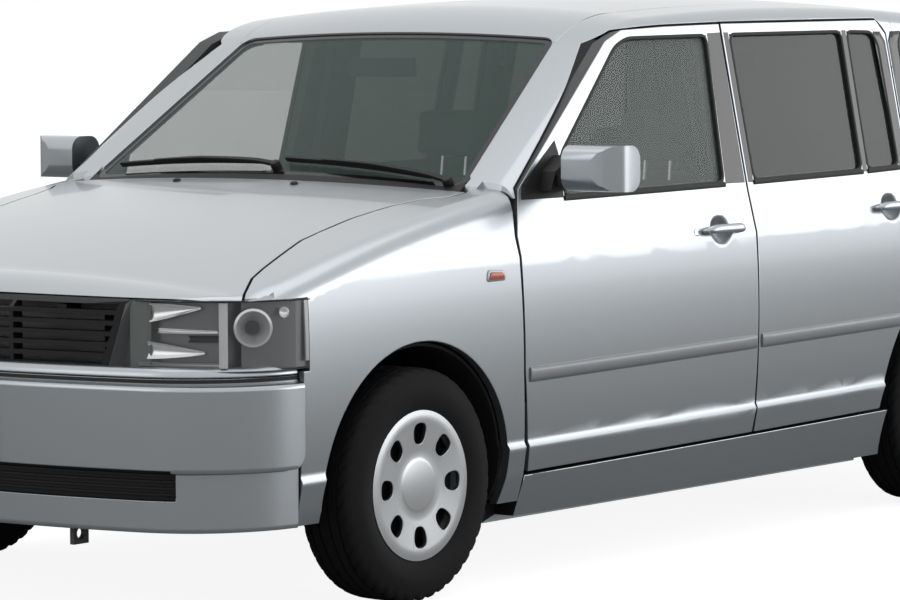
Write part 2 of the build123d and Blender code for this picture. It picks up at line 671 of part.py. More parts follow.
def make_front_suspension():
    solid = box(AXLE_F - 250, AXLE_F + 80, -345, 345, 176, 226)
    y = KING_LOW[0]
    for s in (1, -1):
        joint = Pos(AXLE_F, s * y, 185)
        arm = xy_prism([(AXLE_F - 230, s * 330), (AXLE_F - 150, s * 330), (AXLE_F - 10, s * (y - 132)),
                        (AXLE_F + 20, s * 330), (AXLE_F + 60, s * 330), (AXLE_F + 30, s * (y - 22)),
                        (AXLE_F - 30, s * (y - 22))], 172, 198)
        leg = box(AXLE_F - 240, AXLE_F - 190, *span(s, 330, 462), 180, 222)
        leg = leg + box(AXLE_F - 240, AXLE_F - 190, *span(s, 418, 462), 200, 420 - SEAT_FIT)
        solid = solid + arm + leg + joint * Cylinder(27, 26)
        solid = solid - joint * Sphere(16 + SEAT_FIT) - joint * Pos(0, 0, 12) * Cylinder(17, 20)
    return biggest(solid)


def span(s, a, b):
    return (min(s * a, s * b), max(s * a, s * b))


def make_rear_axle():
    y = TRACK_REAR / 2
    solid = cyl_y(AXLE_R + 150, 262, 34, 130 - y, y - 130)
    for s in (1, -1):
        arm = box(AXLE_R - 40, AXLE_R + 330, *span(s, y - 164, y - 116), 236, 290)
        stub = cyl_y(AXLE_R, TYRE_R, 30, *span(s, y - 160, y - 10))
        stub = stub + cyl_y(AXLE_R, TYRE_R, STUB_R, *span(s, y - 30, y + 40))
        drum = cyl_y(AXLE_R, TYRE_R, 104, *span(s, y - 102, y - 62))
        bush = cyl_y(AXLE_R + 330, 262, 30, *span(s, y - 170, y - 110))
        spring = Pos(AXLE_R - 10, s * 470, 377.35) * Cylinder(46, 184.7)
        pad = box(AXLE_R - 60, AXLE_R + 60, *span(s, 424, y - 130), 262, 288)
        solid = solid + arm + stub + drum + bush + spring + pad
    return biggest(solid)


def make_floor():
    def width(t):
        left = side_form(t, t)
        return left & mirror(left, Plane.XZ)

    notch = box(-480, 915, -112, 112, 150, 314)
    main = box(-460, 905, -740, 740, 196, 214) - notch
    tunnel = box(-460, 905, -130, 130, 196, 330) - notch
    rise = xz_prism([(-440, 196), (-460, 196), (-470, 400), (-900, 400), (-1000, 470), (-2060, 470),
                     (-2060, 488), (-994, 488), (-892, 418), (-452, 418), (-440, 214)], -740, 740)
    rise = rise - notch
    tail = box(-2066, -2046, -600, 600, 330, 598) + box(-2060, -1996, EYE_Y - 7, EYE_Y + 7, 178, 360)
    tail = tail - cyl_y(-2024, 206, EYE_R, EYE_Y - 20, EYE_Y + 20)
    well = Pos(-1700, 0, 400) * (Cylinder(300, 180) - Pos(0, 0, 14) * Cylinder(288, 170))
    rise = rise - Pos(-1700, 0, 480) * Cylinder(288, 100)
    well_y = WELL_IN_R - HOUSING_T - SEAT_FIT
    cuts = cyl_y(AXLE_R, TYRE_R, HOUSING_R + HOUSING_T + SEAT_FIT, well_y, 800)
    low = box(-2100, AXLE_R - 250, 500, 900, 100, 469.9)
    front = (main + tunnel + rise) & box(-886, 2000, -900, 900, 0, 900) & width(DOOR_T + 6 + SEAT_FIT)
    back = (rise + tail + well) & box(-2100, -885.9, -900, 900, 0, 900) & width(DOOR_T + SEAT_FIT)
    back = back & rear_plan(BUMPER_T + SEAT_FIT, 100, 700)
    whole = front + back
    for c in (cuts, low):
        whole = whole - c - mirror(c, Plane.XZ)
    return biggest(whole)


def housing(axle, y_in, y_out, z0):
    ring = cyl_y(axle, TYRE_R, HOUSING_R + HOUSING_T, y_in - HOUSING_T, y_out)
    ring = ring - cyl_y(axle, TYRE_R, HOUSING_R, y_in, y_out + 5)
    return ring & box(axle - 400, axle + 400, 300, 900, z0, 900)


def make_front_housings():
    arch = housing(AXLE_F, WELL_IN_F, 808, TYRE_R - 60)
    tower = Pos(AXLE_F, KING_TOP[0] + 8, 700) * (Cylinder(100, 190))
    tower = tower - Pos(AXLE_F, KING_TOP[0] + 8, 690) * Cylinder(92, 195)
    arch = arch - Pos(AXLE_F, KING_TOP[0] + 8, 640) * Cylinder(92, 120)
    whole = arch + (tower - cyl_y(AXLE_F, TYRE_R, HOUSING_R, WELL_IN_F, 900))
    return biggest(whole & (FRONT_IN & box(900, 2000, 400, 900, 100, 1100)))


def make_bulkhead():
    wall = xz_prism([(905.3, 196), (925, 196), (968, 600), (978, 939.7), (960, 939.7), (950, 604)], -716, 716)
    wall = wall - box(900, 1000, -112, 112, 190, 314)
    reach = WELL_IN_F - HOUSING_T - SEAT_FIT
    for s in (1, -1):
        wall = wall - cyl_y(AXLE_F, TYRE_R, HOUSING_R + HOUSING_T + SEAT_FIT, *span(s, reach, 900))
    keep = side_form(120 + SEAT_FIT, 120 + SEAT_FIT, True)
    return biggest(wall & keep & mirror(keep, Plane.XZ))


def make_front_structure():
    side = WELL_IN_F - HOUSING_T - SEAT_FIT
    rails = [box(957.8, 2004, *span(s, 414, side), 420, 500) for s in (1, -1)]
    rails += [box(2003, 2040, *span(s, 414, 470), 420, 500) for s in (1, -1)]
    beam = box(2036, 2062, -BEAM_Y, BEAM_Y, 410, 510)
    lock = box(PANEL_X, 2010, -470, 470, *LOCK_Z)
    legs = [box(PANEL_X, 2010, s * 440 - 20, s * 440 + 20, 230, LOCK_Z[1]) for s in (1, -1)]
    low = box(PANEL_X, 2010, -440, 440, 230, 262)
    solid = beam + lock + low
    for p in rails + legs:
        solid = solid + p
    solid = solid + box(1985, 2036, EYE_Y - 7, EYE_Y + 7, 180, 240)
    return biggest(solid - cyl_y(2012, 206, EYE_R, EYE_Y - 20, EYE_Y + 20))


def make_radiator():
    top, bottom = LOCK_Z[0] + 16, 246
    front = PANEL_X - SEAT_FIT
    core = box(front - RADIATOR_T, front, -RADIATOR_Y, RADIATOR_Y, bottom, top)
    for s in (1, -1):
        tank = box(front - RADIATOR_T - 12, front, *span(s, RADIATOR_Y - 1, RADIATOR_Y + 42), bottom - 6, top + 6)
        core = core + tank
    return biggest(core)


def make_cowl():
    strip = (SHELL & box(900, 1000, -650, 650, 900, 1060)) - screen_cut(0)
    strip = biggest(strip & box(930, 1000, -650, 650, 925, 1060))
    tray = box(970, 1085, -640, 640, 925, 933)
    cowl = strip + tray - box(900, 978.3, -660, 660, 900, 940)
    for s in (1, -1):
        cowl = cowl + cyl_y(*BONNET_AXIS, 4, *span(s, 630, BONNET_HINGE_Y + 9))
    return biggest(cowl)


def make_dashboard():
    pad = xz_prism([(640, 620), (600, 700), (600, 860), (660, 930), (940, 975), (944, 640)], -660, 660)
    pad = pad & INNER
    console = box(420, 640, -90, 90, 330.3, 640)
    column = column_part()
    return biggest(pad + console + column)


def column_part():
    d = Vector(cos(radians(COLUMN_TILT)), 0, -sin(radians(COLUMN_TILT)))
    c = Vector(*STEER_CENTRE)
    return Solid.make_cylinder(34, 240, Plane(origin=c + d * 60, z_dir=d))


def make_steering_wheel():
    d = Vector(cos(radians(COLUMN_TILT)), 0, -sin(radians(COLUMN_TILT)))
    pl = Plane(origin=Vector(*STEER_CENTRE), x_dir=(0, 1, 0), z_dir=d)
    rim = Torus(STEER_R - 15, 15)
    hub = Pos(0, 0, 12) * Cylinder(62, 60)
    body = rim + hub
    for a in (90, 210, 330):
        spoke = Rot(0, 0, a) * (Pos(95, 0, 4) * Box(150, 34, 14))
        body = body + spoke
    stub = Pos(0, 0, 50) * Cylinder(20, 18)
    return biggest(pl * (body + stub))


def make_seats():
    out = []
    for s in (1, -1):
        y0, y1 = s * 370 - 245, s * 370 + 245
        base = box(-120, 300, y0 + 60, y1 - 60, 214, 330)
        cushion = xz_prism([(-150, 330), (350, 330), (360, 400), (330, 450), (-60, 420), (-150, 430)], y0, y1)
        back = xz_prism([(-150, 430), (-60, 420), (-190, 780), (-250, 960), (-300, 1000), (-340, 985),
                         (-330, 900), (-250, 620), (-190, 430)], y0 + 10, y1 - 10)
        head = xz_prism([(-280, 1040), (-300, 1180), (-370, 1190), (-390, 1050), (-340, 1030)],
                        s * 370 - 125, s * 370 + 125)
        posts = xz_prism([(-315, 990), (-325, 1050), (-337, 1050), (-327, 990)], s * 370 - 50, s * 370 - 38)
        posts2 = Pos(0, 88, 0) * posts
        out.append(biggest(base + cushion + back + head + posts + posts2))
    return out


def make_rear_seat():
    cushion = xz_prism([(-480, 418.5), (-470, 470), (-500, 520), (-900, 495), (-930, 500), (-930, 488.5),
                        (-994, 488.5), (-892, 418.5)], -530, 530)
    back = xz_prism([(-930, 500), (-900, 495), (-1010, 850), (-1050, 985), (-1100, 1000), (-1130, 980),
                     (-1080, 800), (-1000, 488.5), (-930, 488.5)], -530, 530)
    solid = cushion + back
    for y in (-300, 300):
        head = xz_prism([(-1070, 990), (-1080, 1110), (-1140, 1120), (-1160, 1010), (-1110, 985)],
                        y - 120, y + 120)
        solid = solid + head
    return biggest(solid)


def rod_x(x0, x1, y, z, r):
    return Pos((x0 + x1) / 2, y, z) * Rot(0, 90, 0) * Cylinder(r, x1 - x0)


def make_exhaust():
    path = FilletPolyline((960, 0, 250), (-860, 0, 250), (-960, 0, 352), (-1360, 0, 352),
                          (-1360, PIPE_Y, 352), (-1500, PIPE_Y, 352), radius=60)
    pipe = sweep(Plane(origin=(960, 0, 250), z_dir=(-1, 0, 0)) * Circle(24), path=path)
    muffler = rod_x(-1900, -1470, PIPE_Y, 340, 72)
    tip = rod_x(-2100, -1890, PIPE_Y, 292, 20)
    cat = rod_x(510, 770, 0, 250, 44)
    whole = pipe + muffler + tip + cat
    for x in (-1560, -1820):
        whole = whole + box(x - 6, x + 6, PIPE_Y - 15, PIPE_Y + 15, 400, 470 - SEAT_FIT)
    return biggest(whole + box(300, 312, -12, 12, 268, 314 - SEAT_FIT))


def make_mirror():
    shell = box(*MIRROR_X, *MIRROR_Y, *MIRROR_Z)
    shell = fillet(shell.edges().filter_by(Axis.Y), 38)
    wedge = xy_prism([(676, 850), (812, 850), (812, 905), (790, 985), (760, 1020), (730, 1030), (676, 1030)],
                     900, 1200)
    shell = shell & wedge
    arm = box(716, 776, 740, 880, 1012, 1040)
    foot = xz_prism([(700, 1000), (800, 1000), (780, 1050), (716, 1090)], 740, 826)
    return biggest(shell + arm + foot - side_form(-SEAT_FIT, -SEAT_FIT))


def build_all():
    doors = make_doors()
    save("door_front_left", doors["front"])
    save("door_front_right", mirror(doors["front"], Plane.XZ))
    save("door_rear_left", doors["rear"])
    save("door_rear_right", mirror(doors["rear"], Plane.XZ))
    for key, names in (("front", ["front"]), ("rear", ["rear", "rear_fixed"])):
        panes = side_glass(names, SEAT_FIT)
        save(f"glass_{key}_left", panes)
        save(f"glass_{key}_right", [mirror(p, Plane.XZ) for p in panes])
    m = make_mirror()
    save("mirror_left", m)
    save("mirror_right", mirror(m, Plane.XZ))
    save("roof", make_roof())
    save("roof_rails", both(make_roof_rails()))
    screen = (cabin_top(8, 6, 40) - cabin_top(30, 11, 50)) & screen_cut(SEAT_FIT)
    save("windscreen", biggest(screen))
    q = make_quarter()
    right = mirror(q, Plane.XZ) - fuel_cut(GAP, 122)
    right = right + Pos(*FUEL_AXIS, FUEL_LID[1]) * Cylinder(FUEL_PIN_R, FUEL_LID[3] + 2 * GAP + 10)
    save("rear_quarters", [q, biggest(right)])
    lid = (mirror(SHELL, Plane.XZ) & fuel_cut(0, 200)) - mirror(side_form(20, 20), Plane.XZ)
    lid = lid - Pos(*FUEL_AXIS, FUEL_LID[1]) * Cylinder(FUEL_PIN_R + SEAT_FIT, 300)
    save("fuel_lid", biggest(lid))
    save("quarter_glass", both(side_glass(["quarter"], SEAT_FIT)[0]))
    save("tailgate", make_tailgate())
    save("tailgate_glass", make_tail_glass())
    save("tail_lamps", both(make_tail_lamps()))
    save("sills", both(make_sills()))
    save("b_pillars", both(make_b_pillar()))
    save("hinge_pillars", both(make_hinge_pillar()))
    save("bonnet", make_bonnet())
    f = make_fender()
    save("front_fenders", both(f))
    save("headlamps", both(make_headlamp()))
    save("grille", make_grille())
    save("front_bumper", make_front_bumper())
    save("rear_bumper", make_rear_bumper())
    for key, x, y in (("front_left", AXLE_F, TRACK_FRONT / 2), ("front_right", AXLE_F, -TRACK_FRONT / 2),
                      ("rear_left", AXLE_R, TRACK_REAR / 2), ("rear_right", AXLE_R, -TRACK_REAR / 2)):
        save(f"tyre_{key}", tyre(x, y))
        save(f"wheel_{key}", wheel(x, y, 1 if y > 0 else -1))
    k = knuckle()
    save("knuckle_left", k)
    save("knuckle_right", mirror(k, Plane.XZ))
    save("front_suspension", make_front_suspension())
    save("rear_axle", make_rear_axle())
    save("floor_pan", make_floor())
    save("front_housings", both(make_front_housings()))
    rear_house = housing(AXLE_R, WELL_IN_R, 737, TYRE_R + 12)
    save("rear_housings", both(biggest(rear_house)))
    save("bulkhead", make_bulkhead())
    save("front_structure", make_front_structure())
    save("radiator", make_radiator())
    save("cowl", make_cowl())
    save("dashboard", make_dashboard())
    save("steering_wheel", make_steering_wheel())
    save("front_seats", make_seats())
    save("rear_seat", make_rear_seat())
    save("engine", box(1130, 1640, -400, 400, 300, 780) + box(1370, 1440, -413.7, 413.7, 440, 480))
    save("fuel_tank", box(-850, -500, -420, 420, 220, 399.7) - box(-900, -400, -50, 50, 200, 300))
    save("exhaust", make_exhaust())


build_all()
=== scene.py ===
"""Compact five-door station wagon: the finish and small parts worn by the CAD pieces.

Places and sizes are in millimetres and become metres where a mesh is made.
"""

import json
from math import atan2, cos, hypot, pi, radians, sin, sqrt

import bmesh
import bpy
import numpy as np
from mathutils import Matrix, Vector

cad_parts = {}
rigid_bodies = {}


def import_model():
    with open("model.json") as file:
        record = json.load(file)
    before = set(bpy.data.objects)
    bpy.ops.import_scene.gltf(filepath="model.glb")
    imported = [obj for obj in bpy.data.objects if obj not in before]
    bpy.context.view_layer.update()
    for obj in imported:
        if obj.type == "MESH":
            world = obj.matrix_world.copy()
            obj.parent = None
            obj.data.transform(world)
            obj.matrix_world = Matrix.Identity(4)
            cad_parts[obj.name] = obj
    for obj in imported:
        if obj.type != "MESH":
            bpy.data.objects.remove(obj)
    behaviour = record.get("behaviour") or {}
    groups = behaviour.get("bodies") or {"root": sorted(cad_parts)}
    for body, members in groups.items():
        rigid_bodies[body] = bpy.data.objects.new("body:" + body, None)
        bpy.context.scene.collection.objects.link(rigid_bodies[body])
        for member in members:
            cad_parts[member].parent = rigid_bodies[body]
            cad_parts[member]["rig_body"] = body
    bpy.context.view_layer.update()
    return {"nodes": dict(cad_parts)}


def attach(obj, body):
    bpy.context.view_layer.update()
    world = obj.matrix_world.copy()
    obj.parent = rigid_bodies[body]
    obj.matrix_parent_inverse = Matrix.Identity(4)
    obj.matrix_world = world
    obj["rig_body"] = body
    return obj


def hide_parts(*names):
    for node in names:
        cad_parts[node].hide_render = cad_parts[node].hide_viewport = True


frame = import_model()
NODES = frame["nodes"]
MM = 0.001
HANDS = (("left", 1), ("right", -1))
WELD = 2e-5             # metres: points nearer to each other than this are one
CREASE = 32             # degrees: edges bent more than this stay sharp in the shading

AXLE_F, AXLE_R, HUB_Z = 1335.0, -1215.0, 291.5
TRACKS = {"front": (AXLE_F, 740.0), "rear": (AXLE_R, 730.0)}


# Finishes

class Flow:
    """One socket of a material, so that sums on it can be written as Python expressions."""

    def __init__(self, tree, socket):
        self.tree, self.socket = tree, socket

    def step(self, kind, *terms):
        node = self.tree.nodes.new("ShaderNodeMath")
        node.operation = kind
        for place, term in zip(node.inputs, terms):
            if isinstance(term, Flow):
                self.tree.links.new(term.socket, place)
            else:
                place.default_value = term
        return Flow(self.tree, node.outputs[0])

    def __add__(self, other):
        return self.step("ADD", self, other)

    def __radd__(self, other):
        return self.step("ADD", other, self)

    def __mul__(self, other):
        return self.step("MULTIPLY", self, other)

    def __rmul__(self, other):
        return self.step("MULTIPLY", other, self)


class Finish:
    """A finish being mixed: one surface shader whose fixed values are set on its own sockets."""

    def __init__(self, name, colour, rough, metal, fixed):
        self.mat = bpy.data.materials.new(name)
        self.mat.use_nodes = True
        self.tree = self.mat.node_tree
        self.shader = self.tree.nodes["Principled BSDF"]
        self.colour = colour
        self.shader.inputs["Base Color"].default_value = (*colour, 1)
        self.shader.inputs["Roughness"].default_value = rough
        self.shader.inputs["Metallic"].default_value = metal
        for key, value in fixed.items():
            self.shader.inputs[key].default_value = value

    def node(self, kind, settings=None, values=None, out=0):
        made = self.tree.nodes.new(kind)
        for key, value in (settings or {}).items():
            setattr(made, key, value)
        for key, value in (values or {}).items():
            if isinstance(value, Flow):
                self.tree.links.new(value.socket, made.inputs[key])
            else:
                made.inputs[key].default_value = value
        return Flow(self.tree, made.outputs[out])

    def grain(self, scale, detail):
        at = self.node("ShaderNodeTexCoord", out="Object")
        return self.node("ShaderNodeTexNoise", values={"Vector": at, "Scale": scale, "Detail": detail})

    def tint(self, share, low, high):
        """Base colour that goes from low to high times the finish's own colour."""
        dark, light = ((*(min(1, c * k) for c in self.colour), 1) for k in (low, high))
        mix = self.node("ShaderNodeMix", {"data_type": "RGBA"}, {0: share, 6: dark, 7: light}, 2)
        self.set("Base Color", mix)

    def set(self, socket, flow):
        self.tree.links.new(flow.socket, self.shader.inputs[socket])


def body_paint():
    """Silver paint: fine flakes in the colour and the gloss, under a thin clear coat."""
    f = Finish("silver_paint", (0.43, 0.46, 0.485), 0.30, 0.9, {
        "Coat Weight": 0.5, "Coat Roughness": 0.05, "Coat IOR": 1.45})
    flakes = f.grain(900, 1)
    drift = f.grain(1.6, 2)
    f.tint(flakes * 0.5 + drift * 0.5, 0.965, 1.035)
    f.set("Roughness", 0.27 + flakes * 0.05)
    return f.mat


def plain(name, colour, rough, scale, depth, spread=0.12, metal=0.0, spec=0.5):
    """A plain finish: grain of the given scale varies its colour by spread and stands up by depth in metres."""
    f = Finish(name, colour, rough, metal, {"Specular IOR Level": spec})
    fine = f.grain(scale, 3)
    broad = f.grain(scale * 0.02 + 1.5, 2)
    f.tint(fine * 0.5 + broad * 0.5, 1 - spread, 1 + spread)
    f.set("Roughness", (rough - 0.05) + broad * 0.1)
    if depth:
        f.set("Normal", f.node("ShaderNodeBump", values={"Height": fine, "Strength": 0.35, "Distance": depth}))
    return f.mat


def pane(name, colour, see):
    """Glass that hides what is behind it by the share see."""
    f = Finish(name, colour, 0.02, 0.0, {"Specular IOR Level": 0.28, "Alpha": see})
    haze = f.grain(2.2, 2)
    f.tint(haze, 0.97, 1.03)
    f.set("Alpha", (see - 0.01) + haze * 0.02)
    f.mat.surface_render_method = "BLENDED"
    return f.mat


# plain: name, colour, roughness, scale and depth of the grain, spread of the colour, metal
# pane: name, colour, alpha
FINISH = {
    "paint": body_paint(),
    "primer": plain("grey_undercoat", (0.12, 0.125, 0.13), 0.6, 40, 0.0004),
    "under": plain("underbody_black", (0.016, 0.016, 0.017), 0.8, 60, 0.0008, 0.25, spec=0.2),
    "black": plain("black_plastic", (0.014, 0.014, 0.015), 0.5, 300, 0.00005, spec=0.3),
    "gloss_black": plain("gloss_black", (0.012, 0.012, 0.014), 0.12, 300, 0.0),
    "rubber": plain("seal_rubber", (0.018, 0.018, 0.019), 0.7, 300, 0.0002),
    "trim": plain("cabin_trim", (0.085, 0.088, 0.09), 0.65, 200, 0.00006),
    "trim_dark": plain("cabin_trim_dark", (0.035, 0.036, 0.039), 0.62, 200, 0.00006),
    "glass_front": pane("screen_glass", (0.13, 0.20, 0.18), 0.30),
    "glass_side": pane("side_glass", (0.26, 0.31, 0.29), 0.30),
    "glass_rear": pane("rear_glass", (0.03, 0.036, 0.034), 0.80),
    "silver": plain("wheel_silver", (0.60, 0.62, 0.64), 0.32, 300, 0.0, 0.05, 0.5),
    "tyre": plain("tyre_rubber", (0.011, 0.011, 0.012), 0.8, 350, 0.0002, 0.15, spec=0.2),
    "cast": plain("cast_metal", (0.20, 0.20, 0.205), 0.55, 220, 0.0006, 0.2, 0.7),
    "steel": plain("pipe_steel", (0.36, 0.34, 0.31), 0.42, 60, 0.0002, 0.2, 0.9),
    "chrome": plain("bright_metal", (0.80, 0.81, 0.82), 0.08, 80, 0.0, 0.03, 1.0),
    "fabric": plain("seat_cloth", (0.09, 0.094, 0.10), 0.9, 500, 0.0003, 0.2),
    "red": plain("red_lens", (0.45, 0.012, 0.014), 0.12, 300, 0.0, 0.06),
    "orange": plain("orange_lens", (0.62, 0.16, 0.10), 0.15, 300, 0.0, 0.06),
    # the side moulding's darker grey, against the body colour, is painted shade for the shade along its groove
    "moulding": plain("moulding_painted_shade", (0.25, 0.26, 0.275), 0.42, 400, 0.0001, 0.05, 0.4),
    "bezel": plain("lamp_bezel", (0.42, 0.43, 0.44), 0.3, 300, 0.0, 0.05, 0.4),
    "lamp_dark": plain("lamp_inner", (0.21, 0.215, 0.225), 0.3, 200, 0.0, 0.1, 0.6),
    "mirror": plain("mirror_glass", (0.75, 0.77, 0.78), 0.03, 60, 0.0, 0.02, 1.0),
    "lining": plain("roof_lining", (0.42, 0.42, 0.40), 0.9, 800, 0.0003, 0.06),
    "lens": pane("lamp_lens", (0.62, 0.65, 0.66), 0.10),
    "lamp_mid": plain("lamp_panel", (0.17, 0.19, 0.18), 0.35, 200, 0.0, 0.06, 0.3),
    "lamp_bright": plain("lamp_reflector", (0.93, 0.94, 0.95), 0.22, 160, 0.0, 0.02, 0.55),
}


# Outer forms of the body


def arc_through(a, b, c, n):
    """The arc from a through b to c, in n steps."""
    (ax, ay), (bx, by), (cx, cy) = a, b, c
    d = 2 * (ax * (by - cy) + bx * (cy - ay) + cx * (ay - by))
    ux = ((ax**2 + ay**2) * (by - cy) + (bx**2 + by**2) * (cy - ay) + (cx**2 + cy**2) * (ay - by)) / d
    uy = ((ax**2 + ay**2) * (cx - bx) + (bx**2 + by**2) * (ax - cx) + (cx**2 + cy**2) * (bx - ax)) / d
    r = hypot(ax - ux, ay - uy)
    t0, t1, t2 = (atan2(y - uy, x - ux) for x, y in (a, b, c))
    turn = (t2 - t0) % (2 * pi)
    if (t1 - t0) % (2 * pi) > turn:
        turn -= 2 * pi
    return [(ux + r * cos(t0 + turn * i / n), uy + r * sin(t0 + turn * i / n)) for i in range(n + 1)]


def spaced(points, gap):
    """A line with its corners kept and points put in about a gap apart."""
    out = [points[0]]
    for a, b in zip(points, points[1:]):
        n = max(1, round(hypot(b[0] - a[0], b[1] - a[1]) / gap))
        out += [(a[0] + (b[0] - a[0]) * i / n, a[1] + (b[1] - a[1]) * i / n) for i in range(1, n + 1)]
    return out


class Outline:
    """A line in a flat section. What lies on its right hand is outside."""

    BATCH = 4000        # points measured at a time, to save memory

    def __init__(self, points):
        self.p = np.array(points, float)
        self.d = np.diff(self.p, axis=0)
        size = np.hypot(self.d[:, 0], self.d[:, 1])
        self.size2 = size**2
        side = np.stack([self.d[:, 1], -self.d[:, 0]], 1) / size[:, None]
        n = np.vstack([side[:1], side[:-1] + side[1:], side[-1:]])
        self.n = n / np.hypot(n[:, 0], n[:, 1])[:, None]

    def near(self, q):
        """Signed distance of points from the line, and the outward direction at the nearest place."""
        gap, norm = np.zeros(len(q)), np.zeros((len(q), 2))
        for lo in range(0, len(q), self.BATCH):
            part = q[lo:lo + self.BATCH]
            w = part[:, None, :] - self.p[None, :-1]
            u = np.clip((w * self.d).sum(2) / self.size2, 0, 1)
            miss = w - u[:, :, None] * self.d
            k = (miss**2).sum(2).argmin(1)
            row = np.arange(len(part))
            t = u[row, k][:, None]
            n = self.n[k] * (1 - t) + self.n[k + 1] * t
            n /= np.hypot(n[:, 0], n[:, 1])[:, None]
            gap[lo:lo + self.BATCH] = (miss[row, k] * n).sum(1)
            norm[lo:lo + self.BATCH] = n
        return gap, norm


LOW_SIDE = [(745, 60), (765, 120), (795, 208), (824, 292), (840, 366), (834, 378)]
MID_SIDE = arc_through((834, 378), (846, 610), (838, 850), 40)
LOWER_SIDE = spaced(LOW_SIDE, 11) + MID_SIDE[1:]
SIDE = Outline(LOWER_SIDE + spaced([(838, 850), (808, 968), (700, 1492), (640, 1620)], 12)[1:])
FENDER_SIDE = Outline(LOWER_SIDE + spaced([(838, 850), (748, 1204)], 12)[1:])
CABIN = Outline(spaced([(1100, 942), (985, 1020), (392, 1422)], 60)
                + arc_through((392, 1422), (300, 1462), (160, 1485), 14)[1:]
                + arc_through((160, 1485), (-700, 1510), (-1860, 1440), 50)[1:]
                + spaced([(-1860, 1440), (-2030, 1000), (-2075, 620), (-2090, 500)], 14)[1:])
BONNET = Outline([(2112, 500), (2112, 700)] + arc_through((2112, 735), (2052, 793), (1930, 830), 14)
                 + arc_through((1930, 830), (1350, 972), (700, 1066), 50)[1:])
NOSE_BOW, TAIL_BOW = 2400, 5200             # radii of nose and tail seen from above
RAKE = radians(0.9)                         # the lines of the flank fall forward by this
FLANK_BOW, FLANK_MID = 69162, -250          # radius of the flank seen from above, and where it is widest
PLATE_FIELD_Y, PLATE_FIELD_X = 176, 2145.2  # half width and place of the flat field that carries the plate
# way up, heights of the block's and the lower layer's edges, and the radii that these are rolled to
BUMPER_EDGES = ((1, 584.0, 600.0, 15.0, 6.0), (-1, 372.0, 228.0, 10.0, 12.0))


def nose_outline(tip, bow, corner, side_y):
    """Half of a bumper or nose seen from above, from its middle round the corner to its flank."""
    cx, cy = tip - bow + sqrt((bow - corner) ** 2 - (side_y - corner) ** 2), side_y - corner
    turn = atan2(cy, cx - (tip - bow))
    front = [(tip - bow + bow * cos(turn * i / 24), bow * sin(turn * i / 24)) for i in range(25)]
    turns = [turn + (pi / 2 - turn) * i / 16 for i in range(1, 17)]
    bend = [(cx + corner * cos(a), cy + corner * sin(a)) for a in turns]
    return front + bend + [(cx - 400, side_y), (cx - 1200, side_y)]


NOSE = Outline(nose_outline(2112, NOSE_BOW, 300, 838))
LAMP_FACE = Outline(nose_outline(2112, NOSE_BOW, 300, 830))
LIP_FACE = Outline(nose_outline(2139, NOSE_BOW, 320, 803))
BUMPER = Outline(nose_outline(2150, NOSE_BOW, 320, 826))
BUMPER_LOW = Outline(nose_outline(2138, NOSE_BOW, 320, 802))
TAIL_BUMPER = Outline([(-x, y) for x, y in reversed(nose_outline(2150, TAIL_BOW, 240, 826))])


# Each form gives, for points, their signed distance from it and its outward direction there.

def side_form(outline):
    """A flank: a line in cross-section, bowed round a tall upright cylinder and raked."""
    c, s = cos(RAKE), sin(RAKE)

    def measure(p):
        hand = np.where(p[:, 1] >= 0, 1.0, -1.0)
        xl, zl = p[:, 0] * c - p[:, 2] * s, p[:, 0] * s + p[:, 2] * c
        y = np.abs(p[:, 1]) + FLANK_BOW
        h = np.hypot(y, xl - FLANK_MID)
        d, n = outline.near(np.stack([h - FLANK_BOW, zl], 1))
        bow = n[:, 0] * (xl - FLANK_MID) / h
        return d, np.stack([bow * c + n[:, 1] * s, hand * n[:, 0] * y / h, -bow * s + n[:, 1] * c], 1)
    return measure


def crowned_form(outline, centre):
    """A line down the middle of the body, turned about a lengthwise axis at the height centre."""
    def measure(p):
        h = np.hypot(p[:, 1], p[:, 2] - centre)
        d, n = outline.near(np.stack([p[:, 0], h + centre], 1))
        return d, np.stack([n[:, 0], n[:, 1] * p[:, 1] / h, n[:, 1] * (p[:, 2] - centre) / h], 1)
    return measure


def plan_form(outline):
    """An upright wall over a line seen from above, the same on both sides."""
    def measure(p):
        hand = np.where(p[:, 1] >= 0, 1.0, -1.0)
        d, n = outline.near(np.stack([p[:, 0], np.abs(p[:, 1])], 1))
        return d, np.stack([n[:, 0], hand * n[:, 1], 0 * d], 1)
    return measure


def level_form(height):
    def measure(p):
        return p[:, 2] - height, np.broadcast_to([0.0, 0.0, 1.0], (len(p), 3))
    return measure


def bumper_form(p):
    """The proud bumper block and the lower layer round it, both with rolled edges."""
    d0, n0 = plan_form(BUMPER)(p)
    d1, n1 = plan_form(BUMPER_LOW)(p)
    block = np.abs(d0) <= np.abs(d1)
    flat = block & (np.abs(p[:, 1]) < PLATE_FIELD_Y) & (p[:, 0] > 2100)
    d0 = np.where(flat, np.maximum(d0, p[:, 0] - PLATE_FIELD_X), d0)
    d, n = np.where(block, d0, d1), np.where(block[:, None], n0, n1)
    for up, block_z, low_z, block_r, low_r in BUMPER_EDGES:
        e, r = np.where(block, block_z, low_z), np.where(block, block_r, low_r)
        e = (p[:, 2] - e) * up
        use = (d > -r) & (e > -r)
        a, b = 1 + d / r, 1 + e / r
        size = np.maximum(np.hypot(a, b), 1e-6)
        turned = (a[:, None] * n + b[:, None] * np.array([0.0, 0.0, up])) / size[:, None]
        d, n = np.where(use, r * (size - 1), d), np.where(use[:, None], turned, n)
    return d, n


FLANK = side_form(SIDE)
FENDER_FLANK = side_form(FENDER_SIDE)
ROOFLINE = crowned_form(CABIN, -4490.0)
HOOD = crowned_form(BONNET, -6485.0)


